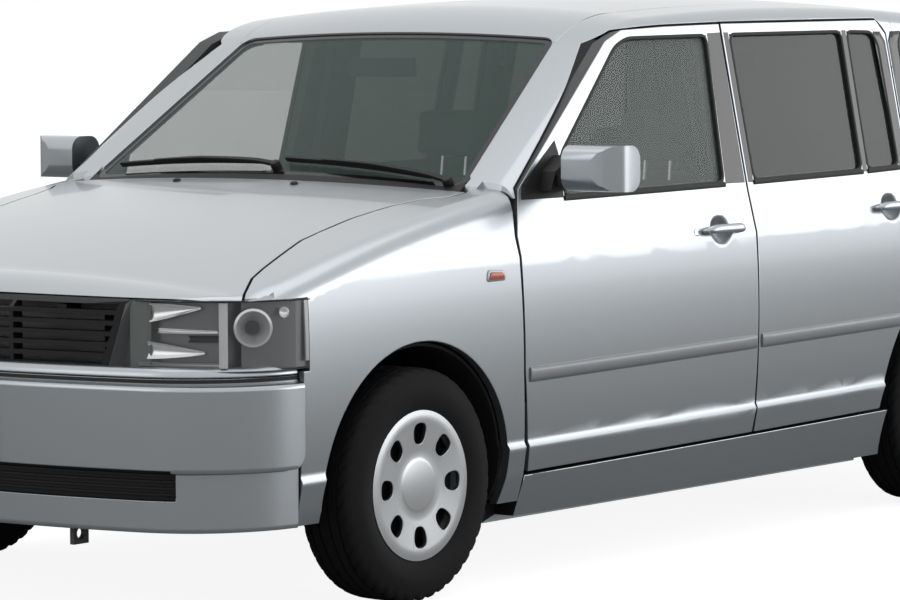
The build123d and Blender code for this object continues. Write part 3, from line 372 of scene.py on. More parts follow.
def skin_of(points, forms, rounds):
    """Signed distance from the skin and its outward direction, with edges between forms rolled to a radius."""
    got = [f(points) for f in forms]
    d = np.stack([g[0] for g in got])
    best = d.argmax(0)
    row = np.arange(len(points))
    dist = d[best, row]
    sharp = dist.copy()
    norm = np.stack([g[1] for g in got])[best, row]
    done = np.zeros(len(points), bool)
    for i, j, r in rounds:
        (d1, n1), (d2, n2) = got[i], got[j]
        c = (n1 * n2).sum(1)
        a, b = 1 + d1 / r, 1 + d2 / r
        use = (d1 > -r) & (d2 > -r) & ((best == i) | (best == j)) & ~done
        use &= (c < 0.998) & (a > c * b) & (b > c * a)
        k = np.where(use, 1 - c * c, 1.0)
        m = ((a - c * b) / k)[:, None] * n1 + ((b - c * a) / k)[:, None] * n2
        size = np.linalg.norm(m, axis=1)
        size = np.where(size > 1e-6, size, 1)
        dist = np.where(use, r * (size - 1), dist)
        norm = np.where(use[:, None], m / size[:, None], norm)
        done |= use
    return dist, norm, sharp


# Mesh helpers

FACING = 0.6            # how squarely a face of the outer side faces outwards
FARTHEST = 40           # points farther from the true form than this are left where they are
EDGE_DROP, EDGE_ROLL = 0.45, 0.9        # how far a panel's edge sinks, in rim widths, and how far it turns
GLASS_CUTS = ((0, 0.06), (1, 0.08), (2, 0.06))


def body_of_node(node):
    return NODES[node]["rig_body"]


def node_bmesh(node):
    bm = bmesh.new()
    bm.from_mesh(NODES[node].data)
    bmesh.ops.remove_doubles(bm, verts=bm.verts, dist=WELD)
    bmesh.ops.dissolve_degenerate(bm, dist=1e-6, edges=bm.edges)
    return bm


def vert_array(bm):
    bm.verts.ensure_lookup_table()
    bm.verts.index_update()
    return np.array([v.co[:] for v in bm.verts], float).reshape(-1, 3) / MM


def shade(bm, angle=CREASE):
    """Rounded shading, apart from edges bent by more than the angle."""
    for e in bm.edges:
        e.smooth = len(e.link_faces) == 2 and e.calc_face_angle(0) < radians(angle)
    for f in bm.faces:
        f.smooth = True


def wear(bm, name, keys, body, nodes=(), corners=None):
    """Makes a piece of the faces, hangs it on its body and puts it in the place of the CAD nodes."""
    me = bpy.data.meshes.new(name)
    for key in keys:
        me.materials.append(FINISH[key])
    bm.to_mesh(me)
    bm.free()
    if corners:
        me.normals_split_custom_set([tuple(float(c) for c in n) for n in corners])
    o = bpy.data.objects.new(name, me)
    bpy.context.scene.collection.objects.link(o)
    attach(o, body)
    if nodes:
        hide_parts(*nodes)


def cut(bm, faces, axis, at):
    """Cuts the faces where a flat plane across the axis meets them, at a place in metres."""
    normal = Vector([float(i == axis) for i in range(3)])
    geom = faces + list({e for f in faces for e in f.edges}) + list({v for f in faces for v in f.verts})
    bmesh.ops.bisect_plane(bm, geom=geom, dist=WELD, plane_co=normal * at, plane_no=normal)


def slice_mesh(bm, layer, cuts):
    """Cuts the marked faces at even steps, so that they can follow a curved form."""
    for axis, step in cuts:
        places = [v.co[axis] for f in bm.faces if f[layer] for v in f.verts]
        if not places:
            return
        lo, hi = min(places), max(places)
        n = int((hi - lo) / step)
        for k in range(1, n + 1):
            at = lo + (hi - lo) * k / (n + 1)
            cut(bm, [f for f in bm.faces if f[layer] and min(v.co[axis] for v in f.verts) < at - 1e-5
                     and max(v.co[axis] for v in f.verts) > at + 1e-5], axis, at)


def cup_grid(bm, layer, x, z, rx, rz):
    """Cuts the outer faces round a finger cup into a fine grid."""
    for axis, mid, reach in ((0, x, rx), (2, z, rz)):
        for at in np.arange(mid - reach - 3, mid + reach + 4, 6.0) * MM:
            cut(bm, [f for f in bm.faces if f[layer] and abs(f.calc_center_median().x / MM - x) < rx + 20
                     and abs(f.calc_center_median().z / MM - z) < rz + 20], axis, at)


def press_cup(pts, norm, outer, x, z, rx, rz, depth):
    """Presses an oval finger cup into the outer points; it runs out flat at its rim."""
    u, w = (pts[:, 0] - x) / rx, (pts[:, 2] - z) / rz
    e = np.clip(np.hypot(u, w), 1e-6, 1)
    inside = outer & (e < 1)
    h = np.where(inside, depth * (1 - e**3) ** 2, 0)
    slope = np.where(inside, -6 * depth * e**2 * (1 - e**3), 0)
    turned = norm + np.stack([slope * u / e / rx, 0 * h, slope * w / e / rz], 1)
    return pts - norm * h[:, None], turned / np.linalg.norm(turned, axis=1)[:, None]


def dress_panel(node, forms, rounds=(), cuts=((0, 0.04), (2, 0.04)), outer="paint",
                edge="paint", inner="trim", edge_depth=30.0, rim=2.2, tol=1.2, cups=()):
    """A panel's CAD piece with its outer side cut fine, laid on the true forms and given a rolled edge.

    The outer side is what lies within tol of the forms. Of the rest, what lies within edge_depth of them, or
    faces outwards near them, takes the edge's finish, and what is left the inner one.
    """
    bm = node_bmesh(node)
    layer = bm.faces.layers.int.new("outer")
    dist, norm, sharp = skin_of(vert_array(bm), forms, rounds)
    for f in bm.faces:
        ids = [v.index for v in f.verts]
        near = max(min(abs(dist[i]), abs(sharp[i])) for i in ids)
        f[layer] = int(near < tol and float(np.dot(norm[ids].mean(0), f.normal)) > FACING)
    made = bmesh.ops.inset_region(bm, faces=[f for f in bm.faces if f[layer]], thickness=rim * MM,
                                  use_even_offset=False, use_boundary=False)
    for f in made["faces"]:
        f[layer] = 1
    slice_mesh(bm, layer, cuts)
    for cup in cups:
        cup_grid(bm, layer, *cup[:4])
    pts = vert_array(bm)
    dist, norm, _ = skin_of(pts, forms, rounds)
    outer_vert, edge_vert = np.zeros(len(pts), bool), np.zeros(len(pts), bool)
    rim_dir = np.zeros((len(pts), 3))
    for v in bm.verts:
        flags = [f[layer] for f in v.link_faces]
        outer_vert[v.index] = any(flags)
        if any(flags) and not all(flags):
            edge_vert[v.index] = True
            rim_dir[v.index] = sum((f.normal for f in v.link_faces if not f[layer]), Vector()).normalized()
    pts = pts - np.where(outer_vert & (np.abs(dist) < FARTHEST), dist, 0.0)[:, None] * norm
    pts[edge_vert] -= norm[edge_vert] * rim * EDGE_DROP
    for cup in cups:
        pts, norm = press_cup(pts, norm, outer_vert, *cup)
    rolled = norm + rim_dir * EDGE_ROLL
    rolled /= np.linalg.norm(rolled, axis=1)[:, None]
    for v, p in zip(bm.verts, pts):
        v.co = Vector(p * MM)
    bm.normal_update()
    shade(bm)
    corners = []
    for f in bm.faces:
        ids = [v.index for v in f.verts]
        if f[layer]:
            corners += [rolled[i] if edge_vert[i] else norm[i] for i in ids]
        else:
            deep = min(dist[ids])
            facing = float(np.dot(norm[ids].mean(0), f.normal)) > 0.5 and deep > -60
            f.material_index = 1 if deep > -edge_depth or facing else 2
            corners += [(0, 0, 0)] * len(ids)
    wear(bm, node + "_dressed", (outer, edge, inner), body_of_node(node), [node], corners)


def smooth_copy(node, keys, angle=CREASE, choose=None, inset=None):
    """A node's own shape with rounded shading. Where there is a choice, choose picks each face's finish.

    inset is a test and a width: the faces that pass the test get a rim that wide, and choose hears which
    faces lie inside it.
    """
    bm = node_bmesh(node)
    bm.normal_update()
    inner = set()
    if inset:
        test, width = inset
        picked = [f for f in bm.faces if test(np.array(f.calc_center_median()) / MM, f.normal)]
        made = bmesh.ops.inset_region(bm, faces=picked, thickness=width * MM, use_even_offset=True)
        inner = set(picked) - set(made["faces"])
    shade(bm, angle)
    if choose:
        for f in bm.faces:
            f.material_index = keys.index(choose(np.array(f.calc_center_median()) / MM, f.normal, f in inner))
    wear(bm, node + "_dressed", keys, body_of_node(node), [node])


def dress_pane(node, form, finish, band):
    """A window pane with the true curve of the body in its shading and a black band round its edge."""
    bm = node_bmesh(node)
    layer = bm.faces.layers.int.new("outer")
    edge = bm.faces.layers.int.new("edge")
    _, norm = form(vert_array(bm))
    for f in bm.faces:
        n = norm[[v.index for v in f.verts]].mean(0)
        f[layer] = int(abs(float(np.dot(n, f.normal))) > 0.8)
    made = bmesh.ops.inset_region(bm, faces=[f for f in bm.faces if f[layer]], thickness=band * MM,
                                  use_even_offset=True)
    for f in made["faces"]:
        f[layer] = f[edge] = 1
    slice_mesh(bm, layer, GLASS_CUTS)
    _, norm = form(vert_array(bm))
    bm.normal_update()
    shade(bm)
    corners = []
    for f in bm.faces:
        f.material_index = int(f[edge] or not f[layer])
        for v in f.verts:
            n = norm[v.index] if f[layer] else np.zeros(3)
            corners.append(n if np.dot(n, f.normal) >= 0 else -n)
    wear(bm, node + "_dressed", (finish, "gloss_black"), body_of_node(node), [node], corners)


def settle(points, form, axis, lift=0.0):
    """Moves points along one axis onto a form and then out by lift; gives places and outward directions."""
    p = np.array(points, float).reshape(-1, 3)
    for _ in range(6):
        d, n = form(p)
        p[:, axis] -= d / np.where(np.abs(n[:, axis]) > 0.2, n[:, axis], 1.0)
    _, n = form(p)
    return p + n * np.reshape(lift, (-1, 1)), n


def strip(half, low, high, top=None):
    """The section of a plain strip: its half width, its bottom and top, and its half width at the top."""
    top = top or half
    return [(-half, low), (half, low), (top, high), (-top, high)]


class Shape:
    """Points and faces gathered in millimetres, each face with the name of its finish."""

    def __init__(self, name):
        self.name, self.v, self.f, self.m, self.keys = name, [], [], [], []

    def add(self, points, faces, finish):
        base = len(self.v)
        if finish not in self.keys:
            self.keys.append(finish)
        self.v += [tuple(float(c) for c in p) for p in points]
        self.f += [tuple(base + i for i in f) for f in faces]
        self.m += [self.keys.index(finish)] * len(faces)

    def grid(self, pts, finish, ring_u=False, ring_v=False):
        """A sheet over a grid of points, closed on itself one way or both if asked."""
        nu, nv = pts.shape[:2]
        faces = []
        for i in range(nu if ring_u else nu - 1):
            for j in range(nv if ring_v else nv - 1):
                k, m = (i + 1) % nu, (j + 1) % nv
                faces.append((i * nv + j, k * nv + j, k * nv + m, i * nv + m))
        self.add(pts.reshape(-1, 3), faces, finish)

    def sweep(self, path, out, section, finish, size=None, ring=False):
        """Runs a closed section of (side, out) pairs along a path."""
        path = np.array(path, float)
        n = len(path)
        t = np.roll(path, -1, 0) - np.roll(path, 1, 0) if ring else np.gradient(path, axis=0)
        t /= np.linalg.norm(t, axis=1)[:, None]
        out = np.broadcast_to(np.array(out, float), (n, 3)).copy()
        out -= t * (out * t).sum(1)[:, None]
        out /= np.linalg.norm(out, axis=1)[:, None]
        side = np.cross(t, out)
        sec = np.array(section, float)
        size = np.ones((n, 2)) if size is None else np.array(size, float)
        pts = (path[:, None] + side[:, None] * (sec[None, :, 0] * size[:, 0:1])[..., None]
               + out[:, None] * (sec[None, :, 1] * size[:, 1:2])[..., None])
        self.grid(pts, finish, ring, True)
        if not ring:
            k = len(sec)
            self.add(pts[0], [tuple(range(k))], finish)
            self.add(pts[-1], [tuple(reversed(range(k)))], finish)

    def lathe(self, profile, centre, axis, finish, n=48):
        """Turns (radius, height) pairs round an axis; heights run along it."""
        axis = np.array(axis, float) / np.linalg.norm(axis)
        a = np.cross(axis, (0, 0, 1) if abs(axis[2]) < 0.9 else (1, 0, 0))
        a /= np.linalg.norm(a)
        b = np.cross(axis, a)
        pts = np.array([[np.array(centre) + (a * cos(2 * pi * i / n) + b * sin(2 * pi * i / n)) * r + axis * h
                         for r, h in profile] for i in range(n)])
        self.grid(pts, finish, True, False)

    def box(self, lo, hi, finish):
        pts = [(x, y, z) for x in (lo[0], hi[0]) for y in (lo[1], hi[1]) for z in (lo[2], hi[2])]
        sides = [(0, 1, 3, 2), (4, 6, 7, 5), (0, 4, 5, 1), (2, 3, 7, 6), (0, 2, 6, 4), (1, 5, 7, 3)]
        self.add(pts, sides, finish)

    def plate(self, outline, form, axis, lift, depth, finish, at=830.0, step=40.0, soft=1.5):
        """A thin plate with a given outline seen along one axis, laid over a form."""
        keep = [i for i in range(3) if i != axis]
        bm = bmesh.new()
        verts = []
        for u, w in outline:
            co = [0.0, 0.0, 0.0]
            co[keep[0]], co[keep[1]] = u, w
            verts.append(bm.verts.new(co))
        bmesh.ops.triangulate(bm, faces=[bm.faces.new(verts)])
        bmesh.ops.inset_region(bm, faces=bm.faces[:], thickness=soft, use_boundary=True)
        for k in keep:
            lo, hi = min(v.co[k] for v in bm.verts), max(v.co[k] for v in bm.verts)
            n = int((hi - lo) / step)
            normal = Vector([float(j == k) for j in range(3)])
            for i in range(1, n + 1):
                bmesh.ops.bisect_plane(bm, geom=bm.verts[:] + bm.edges[:] + bm.faces[:], dist=1e-4,
                                       plane_co=normal * (lo + (hi - lo) * i / (n + 1)), plane_no=normal)
        bm.verts.index_update()
        bm.verts.ensure_lookup_table()
        flat = np.array([v.co[:] for v in bm.verts])
        flat[:, axis] = at
        rim = np.array([v.is_boundary for v in bm.verts])
        top, n = settle(flat, form, axis, np.where(rim, lift - soft * 0.6, lift))
        base = top + n * np.where(rim, soft * 0.6 - depth, -depth)[:, None]
        count = len(top)
        faces = [[v.index for v in f.verts] for f in bm.faces]
        faces += [[v.index + count for v in reversed(f.verts)] for f in bm.faces]
        for e in bm.edges:
            if e.is_boundary:
                a, b = e.verts[0].index, e.verts[1].index
                faces.append([a, b, b + count, a + count])
        bm.free()
        self.add(np.vstack([top, base]), faces, finish)

    def make(self, body, angle=34, replaces=()):
        """Makes the piece, in the place of CAD nodes if they are given."""
        bm = bmesh.new()
        verts = [bm.verts.new(Vector(p) * MM) for p in self.v]
        for f, m in zip(self.f, self.m):
            if len(set(f)) > 2:
                bm.faces.new([verts[i] for i in f]).material_index = m
        bmesh.ops.remove_doubles(bm, verts=bm.verts, dist=1e-5)
        bmesh.ops.dissolve_degenerate(bm, dist=1e-6, edges=bm.edges)
        bmesh.ops.recalc_face_normals(bm, faces=bm.faces)
        shade(bm, angle)
        wear(bm, self.name, self.keys, body, replaces)


# Painted panels

SIDE_CUTS = ((0, 0.035), (2, 0.03))
# finger cups behind the pull handles: middle x and z, half length and height, depth
CUPS = {"front": (29.0, 866.0, 56.0, 44.0, 15.0), "rear": (-860.0, 894.0, 56.0, 44.0, 15.0)}
for hand, _ in HANDS:
    for end in ("front", "rear"):
        dress_panel(f"door_{end}_{hand}", [FLANK], cuts=SIDE_CUTS, cups=[CUPS[end]])
dress_panel("sills", [FLANK], cuts=SIDE_CUTS, inner="under")
dress_panel("roof", [ROOFLINE, FLANK], [(0, 1, 60.0)], ((0, 0.05), (1, 0.05)), inner="lining", edge_depth=12)
dress_panel("roof_rails", [FLANK, ROOFLINE], [(0, 1, 60.0)], ((0, 0.05), (1, 0.02), (2, 0.03)), inner="lining")
dress_panel("rear_quarters", [FLANK, ROOFLINE], [(0, 1, 62.0)], ((0, 0.03), (1, 0.03), (2, 0.03)))
dress_panel("tailgate", [ROOFLINE, FLANK], [(0, 1, 62.0)], ((1, 0.05), (2, 0.03)))
dress_panel("bonnet", [HOOD, plan_form(NOSE)], [(0, 1, 30.0)], ((0, 0.04), (1, 0.05)), inner="primer")
dress_panel("front_fenders", [FENDER_FLANK, HOOD, plan_form(NOSE)], [(0, 1, 70.0), (0, 2, 40.0), (1, 2, 30.0)],
            ((0, 0.022), (1, 0.012), (2, 0.012)), inner="primer")
dress_panel("front_bumper", [bumper_form], (), ((0, 0.05), (1, 0.04), (2, 0.008)), inner="black", tol=7.0)
dress_panel("rear_bumper", [plan_form(TAIL_BUMPER), level_form(600)], [(0, 1, 16.0)],
            ((0, 0.05), (1, 0.05), (2, 0.03)), inner="black")
dress_panel("fuel_lid", [FLANK], cuts=SIDE_CUTS)
smooth_copy("hinge_pillars", ["paint"])

# Windows, and the pieces that keep the CAD shape

for hand, _ in HANDS:
    dress_pane(f"glass_front_{hand}", FLANK, "glass_side", 5)
    dress_pane(f"glass_rear_{hand}", FLANK, "glass_rear", 5)
dress_pane("quarter_glass", FLANK, "glass_rear", 16)
dress_pane("windscreen", ROOFLINE, "glass_front", 20)
dress_pane("tailgate_glass", ROOFLINE, "glass_rear", 24)

PLAIN_NODES = {
    "b_pillars": ("black", "dark_plastic"), "cowl": ("black", "dark_plastic"),
    "grille": ("black", "dark_plastic"), "bulkhead": ("primer", "under_paint"),
    "floor_pan": ("under", "under_paint"), "front_structure": ("primer", "under_paint"),
    "front_housings": ("under", "under_paint"), "rear_housings": ("under", "under_paint"),
    "front_suspension": ("under", "under_paint"), "rear_axle": ("under", "under_paint"),
    "engine": ("cast", "cast_metal"), "fuel_tank": ("black", "dark_plastic"),
    "exhaust": ("steel", "pipe_steel"), "dashboard": ("trim_dark", "trim_plastic"),
    "steering_wheel": ("trim_dark", "trim_plastic"), "knuckle_left": ("cast", "cast_metal"),
    "knuckle_right": ("cast", "cast_metal"), "radiator": ("cast", "cast_metal"),
}
for node, (finish, slot) in PLAIN_NODES.items():
    smooth_copy(node, [finish])

# Trim on the sides, drawn in side view and laid on the flank

SIDE_Y = 830.0          # where a line drawn in side view starts its search for the flank
WAIST_TOP = 1050        # a window's corners below this lie on the waist
WINDOWS = {
    "front": [(700, 984), (690, 1088), (372, 1368), (310, 1390), (-64, 1396), (-30, 994)],
    "rear": [(-178, 996), (-178, 1398), (-758, 1404), (-745, 1006)],
    "rear_fixed": [(-778, 1007), (-790, 1404), (-925, 1402), (-952, 1370), (-950, 1012)],
    "quarter": [(-1062, 1016), (-1066, 1372), (-1100, 1404), (-1700, 1392), (-1790, 1036)],
}
BEAD = [(-5, -7), (5, -7), (5, 0.4), (3, 1.8), (-3, 1.8), (-5, 0.4)]
WAIST_BEAD = [(-7, -6), (7, -6), (7, 2), (4, 4), (-4, 4), (-7, 2)]
MOULDING = [(-19, -3), (19, -3), (19, 4), (15, 8), (9, 9.4), (-9, 9.4), (-15, 8), (-19, 4)]
ROUND = [(cos(pi * i / 8), sin(pi * i / 8)) for i in range(16)]
PILLAR_TAPES = {
    "front": [[(-37, 990), (-70, 1402), (-134, 1404), (-132, 990)]],
    "rear": [[(-148, 990), (-150, 1404), (-174, 1404), (-174, 990)],
             [(-749, 1000), (-762, 1408), (-786, 1408), (-774, 1000)],
             [(-954, 1006), (-956, 1368), (-936, 1404), (-975, 1404), (-996, 1376), (-996, 1006)]],
    "quarter": [[(-1012, 1008), (-1012, 1376), (-1030, 1404), (-1088, 1406), (-1062, 1372), (-1058, 1010)]],
}
MIRROR_PATCH = [(885, 980), (874, 1018), (704, 1128), (696, 1094), (704, 980)]
GRIP_LEFT, GRIP_RIGHT, GRIP_LIFT = 98, 92, 20       # a pull handle's reach about its cup, and its height
LOCK_AT = 118


def rounded_loop(points, radius, gap=30.0):
    """A closed outline with its corners rounded, in even steps."""
    out = []
    n = len(points)
    for i in range(n):
        a, b, c = (np.array(points[(i + k) % n], float) for k in (-1, 0, 1))
        r = min(radius, 0.45 * np.linalg.norm(a - b), 0.45 * np.linalg.norm(c - b))
        p, q = b + (a - b) / np.linalg.norm(a - b) * r, b + (c - b) / np.linalg.norm(c - b) * r
        out += [tuple(p * (1 - t) ** 2 + b * 2 * t * (1 - t) + q * t * t) for t in np.linspace(0, 1, 6)]
    return spaced(out + out[:1], gap)[:-1]


def side_line(points, s):
    """Places on the flank for points drawn in side view, and the outward directions there."""
    return settle([(x, s * SIDE_Y, z) for x, z in points], FLANK, 1)


for hand, s in HANDS:
    front, rear = f"door_front_{hand}", f"door_rear_{hand}"
    # rubber round each pane, wider along the waist
    for body, label, panes in ((front, front, ("front",)), (rear, rear, ("rear", "rear_fixed")),
                               ("body", "quarter", ("quarter",))):
        seals = Shape(f"window_seals_{label}_{hand}")
        for key in panes:
            path, out = side_line(rounded_loop(WINDOWS[key], 26), s)
            seals.sweep(path, out, BEAD, "rubber", ring=True)
            low = [q for q in WINDOWS[key] if q[1] < WAIST_TOP]
            (x0, z0), (x1, z1) = min(low), max(low)
            path, out = side_line(spaced([(x0 - 2, z0 - 6), (x1 + 2, z1 - 6)], 40), s)
            seals.sweep(path, out, WAIST_BEAD, "rubber")
        seals.make(body)
    # dark tapes on the pillars, and the corner patch that carries the mirror
    for body, label in ((front, "front"), (rear, "rear"), ("body", "quarter")):
        tape = Shape(f"pillar_tape_{label}_{hand}")
        for outline in PILLAR_TAPES[label]:
            tape.plate(outline, FLANK, 1, 0.6, 2.0, "gloss_black", s * SIDE_Y)
        if label == "front":
            tape.plate(MIRROR_PATCH, FLANK, 1, 1.2, 3.0, "black", s * SIDE_Y)
        tape.make(body)
    # side mouldings, in a darker grey that is painted shade for the shade along their groove
    for body, x0, x1 in ((front, 905, -126), (rear, -154, -893)):
        bar = Shape(f"side_moulding_{body}")
        path, out = side_line([(x, 535.5 + (915 - x) * 0.01655) for x in np.linspace(x0, x1, 28)], s)
        ends = np.ones((28, 2))
        ends[[0, -1], 1] = 0.55
        bar.sweep(path, out, MOULDING, "moulding", ends)
        bar.make(body)
    # pull handles over their cups, and the lock of the front door
    for end, body in (("front", front), ("rear", rear)):
        x, z = CUPS[end][:2]
        grip = Shape(f"pull_handle_{body}")
        u = np.linspace(-1, 1, 25)
        path, out = side_line([(v, z) for v in np.linspace(x - GRIP_LEFT, x + GRIP_RIGHT, 25)], s)
        path = path + out * (6 + GRIP_LIFT * (1 - u**6))[:, None]
        grip.sweep(path, out, [(a * 12.5, b * 7.0) for a, b in ROUND], "paint",
                   np.stack([np.maximum(0.35, 1 - u**8), np.maximum(0.45, 1 - u**10)], 1))
        for dx in (-80, 76):
            (foot,), (way,) = side_line([(x + dx, z)], s)
            grip.lathe([(0, -3), (11, -3), (11, 18), (0, 18)], foot, way, "paint", 20)
        if end == "front":
            (lock,), (way,) = side_line([(x + LOCK_AT, z)], s)
            grip.lathe([(0, -1), (11, -1), (11, 1.4), (8.5, 2.4), (0, 2.4)], lock, way, "chrome", 28)
            slit = lock + (0, s * 2.2, 0)
            grip.box(slit - (5, 0.5, 1), slit + (5, 0.5, 1), "black")
        grip.make(body)
    repeater = Shape(f"side_repeater_{hand}")
    repeater.plate(rounded_loop([(1078, 781), (1072, 812), (1004, 808), (1000, 782)], 12, 8), FENDER_FLANK, 1,
                   3.0, 5.0, "bezel", s * SIDE_Y, soft=2.5)
    repeater.plate(rounded_loop([(1070, 786), (1065, 806), (1012, 803), (1009, 787)], 8, 6), FENDER_FLANK, 1,
                   6.0, 5.0, "orange", s * SIDE_Y, soft=3.0)
    repeater.make("body")

# Nose: lamps, lip, lower intake, plate

dress_panel("headlamps", [plan_form(LAMP_FACE), FENDER_FLANK, HOOD], [(0, 1, 12.0)],
            ((0, 0.03), (1, 0.03), (2, 0.04)), outer="lens", edge="bezel", inner="lamp_dark",
            edge_depth=4.0, rim=3.0, tol=4.0)

LAMP_END_Y, LAMP_LOW, LAMP_TOP = 808, 618, 778
# backs behind the lens: from y to y, steps, from z to z, depth, more depth in the middle, finish
LAMP_BACKS = [(500, 556, 10, LAMP_LOW, LAMP_TOP, 20, 6, "lamp_mid"),
              (554, 716, 26, LAMP_LOW, LAMP_TOP, 44, 0, "lamp_dark"),
              (732, LAMP_END_Y, 20, LAMP_LOW, LAMP_TOP, 60, 0, "lamp_dark"),
              (716, 732, 6, 622, 776, 12, -4, "lamp_bright")]
# scallops: from y to y, from mid z to mid z, from half height to half height, depth, finish
SCALLOPS = [(552, 676, 751, 764, 22, 3, 18, "lamp_bright"), (546, 684, 663, 658, 21, 4, 16, "lamp_bright"),
            (566, 706, 709, 707, 6, 4, 24, "lamp_bright"), (520, 716, 630, 630, 5, 5, 14, "bezel"),
            (640, 714, 690, 690, 8, 8, 30, "black")]
BOWL = [(0, 0)] + [(r, r * r / 50) for r in (8, 15, 22, 28, 34, 40)] + [(46, 31), (47, 26)]
BOWL_CAP = [(0, 2), (15, 3), (17, 8), (17, 20), (12, 25), (0, 26)]
SIDE_BOWL = [(0, 0), (7, 2), (11, 6), (13, 10)]
LIP = [(-12, -22), (12, -22), (12, -2), (9, 0), (4, -0.4), (-2, -3.2), (-8, -8.5), (-12, -15)]


def lens_x(y):
    return np.interp(y, LAMP_FACE.p[:, 1], LAMP_FACE.p[:, 0])


def lamp_back(y0, y1, n, z0, z1, depth, middle, s):
    """A wall behind the lamp's lens that follows the lens."""
    ys, u = np.linspace(y0, y1, n), np.linspace(-1, 1, n)
    xs = lens_x(ys) - depth - middle * (1 - u * u)
    return np.array([[(x, s * y, z) for z in np.linspace(z0, z1, 12)] for x, y in zip(xs, ys)])


def scallop(y0, y1, mid0, mid1, half0, half1, depth, s, n=26, m=9):
    """A tapering hollow strip behind the lens."""
    pts = np.zeros((n, m, 3))
    for i, t in enumerate(np.linspace(0, 1, n)):
        y = y0 + (y1 - y0) * t
        mid, half = mid0 + (mid1 - mid0) * t, half0 + (half1 - half0) * t**1.4
        for j, v in enumerate(np.linspace(-1, 1, m)):
            hollow = 9 * (1 - v * v) * (1 - t * 0.5)
            pts[i, j] = (lens_x(y) - depth - hollow, s * y, mid + half * v)
    return pts


def across(line, gap=30):
    """A half line seen from above, carried across the middle to the other side, with its outward directions."""
    line = [tuple(q) for q in line]
    whole = np.array(spaced([(x, -y) for x, y in line[::-1]] + line[1:], gap))
    d = np.gradient(whole, axis=0)
    return whole, np.stack([d[:, 1], -d[:, 0], 0 * d[:, 0]], 1)


for hand, s in HANDS:
    lit = Shape(f"lamp_reflectors_{hand}")
    for *place, finish in LAMP_BACKS:
        lit.grid(lamp_back(*place, s), finish)
    lit.grid(np.array([[(1797 - 40 * t, s * LAMP_END_Y, z) for z in np.linspace(LAMP_LOW, LAMP_TOP, 12)]
                       for t in np.linspace(0, 1, 5)]), "lamp_dark")
    for *place, finish in SCALLOPS:
        lit.grid(scallop(*place, s), finish)
    # the round second reflector with its dark cap, and the small side lamp
    at, way = (1880.6, s * 744.3, 716.0), (0.7, 0.71 * s, 0)
    lit.lathe(BOWL, at, way, "lamp_bright", 40)
    lit.lathe(BOWL_CAP, at, way, "trim_dark", 28)
    lit.lathe(SIDE_BOWL, (1838.0, s * 803.0, 752.0), (0.45, 0.89 * s, 0), "lamp_bright", 24)
    lit.make("body")
    rim = Shape(f"lamp_bezel_{hand}")
    line = np.array(spaced([tuple(q) for q in LAMP_FACE.p if q[0] > 1765 and q[1] > 512], 22))
    d = np.gradient(line, axis=0)
    rim.sweep([(x, s * y, 779.4) for x, y in line], np.stack([d[:, 1], -d[:, 0] * s, 0 * d[:, 0]], 1),
              strip(1.6, -4, 0.8), "rubber")
    rim.plate([(1758, 632), (1771, 632), (1772, 777), (1758, 777)], FENDER_FLANK, 1, 1.0, 4.0, "bezel",
              s * SIDE_Y)
    rim.make("body")

# the body-coloured lip under grille and lamps, and below it a black rubber strip that is painted shadow for the
# gap above the bumper block
arc, out = across([q for q in LIP_FACE.p if q[0] > 1786] + [(1786, 803.0)])
lip = Shape("nose_lip")
lip.sweep([(x, y, 612) for x, y in arc], out, LIP, "paint")
lip.make("body")
# painted shadow: a black rubber strip laid in the gap above the bumper block, where there is only shade
gap_shadow_strip = Shape("bumper_gap_shadow")
gap_shadow_strip.sweep([(x, y, 592) for x, y in arc], out, strip(4.5, -6, 0.2), "rubber")
gap_shadow_strip.make("body")

back, out = across([q for q in BUMPER_LOW.p if q[1] < 652])
lining = Shape("intake_lining")
lining.sweep([(x - 34, y, 345) for x, y in back], out, strip(42, -2, 0), "black")
for z in (322, 337, 353, 368):
    lining.sweep([(x - 26, y, z) for x, y in back], out, strip(2.5, -6, 4, 2.0), "black")
lining.make("body")

plate = Shape("blank_front_plate")
plate.box((2145.6, -165, 384), (2147.2, 165, 548), "black")
plate.box((2147.2, -161, 388), (2148.4, 161, 544), "trim_dark")
plate.make("body")

# Mirrors, wheels and tyres

# (across, radius) from the bead to the shoulder, then the edges of the tread's ribs
TYRE_SIDE = [(-66, 178.3), (-76, 188), (-84, 212), (-87.3, 236), (-86.4, 240), (-85, 252), (-83.4, 256),
             (-80, 268), (-76.5, 277), (-71, 284.6)]
RIB_EDGES = [-66, -58, -48.5, -42.5, -20.5, -14.5, 14.5, 20.5, 42.5, 48.5, 58, 66]
GROOVES, GROOVE_DEPTH = (2, 4, 6, 8), 7             # ribs that end in a groove round the tyre
TYRE_R, TYRE_STEPS, TREAD_SLANT = 291.5, 168, 0.004
SHOULDER_CUT, MIDDLE_CUT = 4.5, 3.0                 # depths of the cuts across the tread
CAP_OPENINGS, OPENING_R, OPENING_HALF, OVAL_POWER = 8, 129, 29, 2.6
CAP_FACE = ((60, 70, 150, 168, 187), (73, 70, 79, 81, 78))      # the cover's face: radii and heights


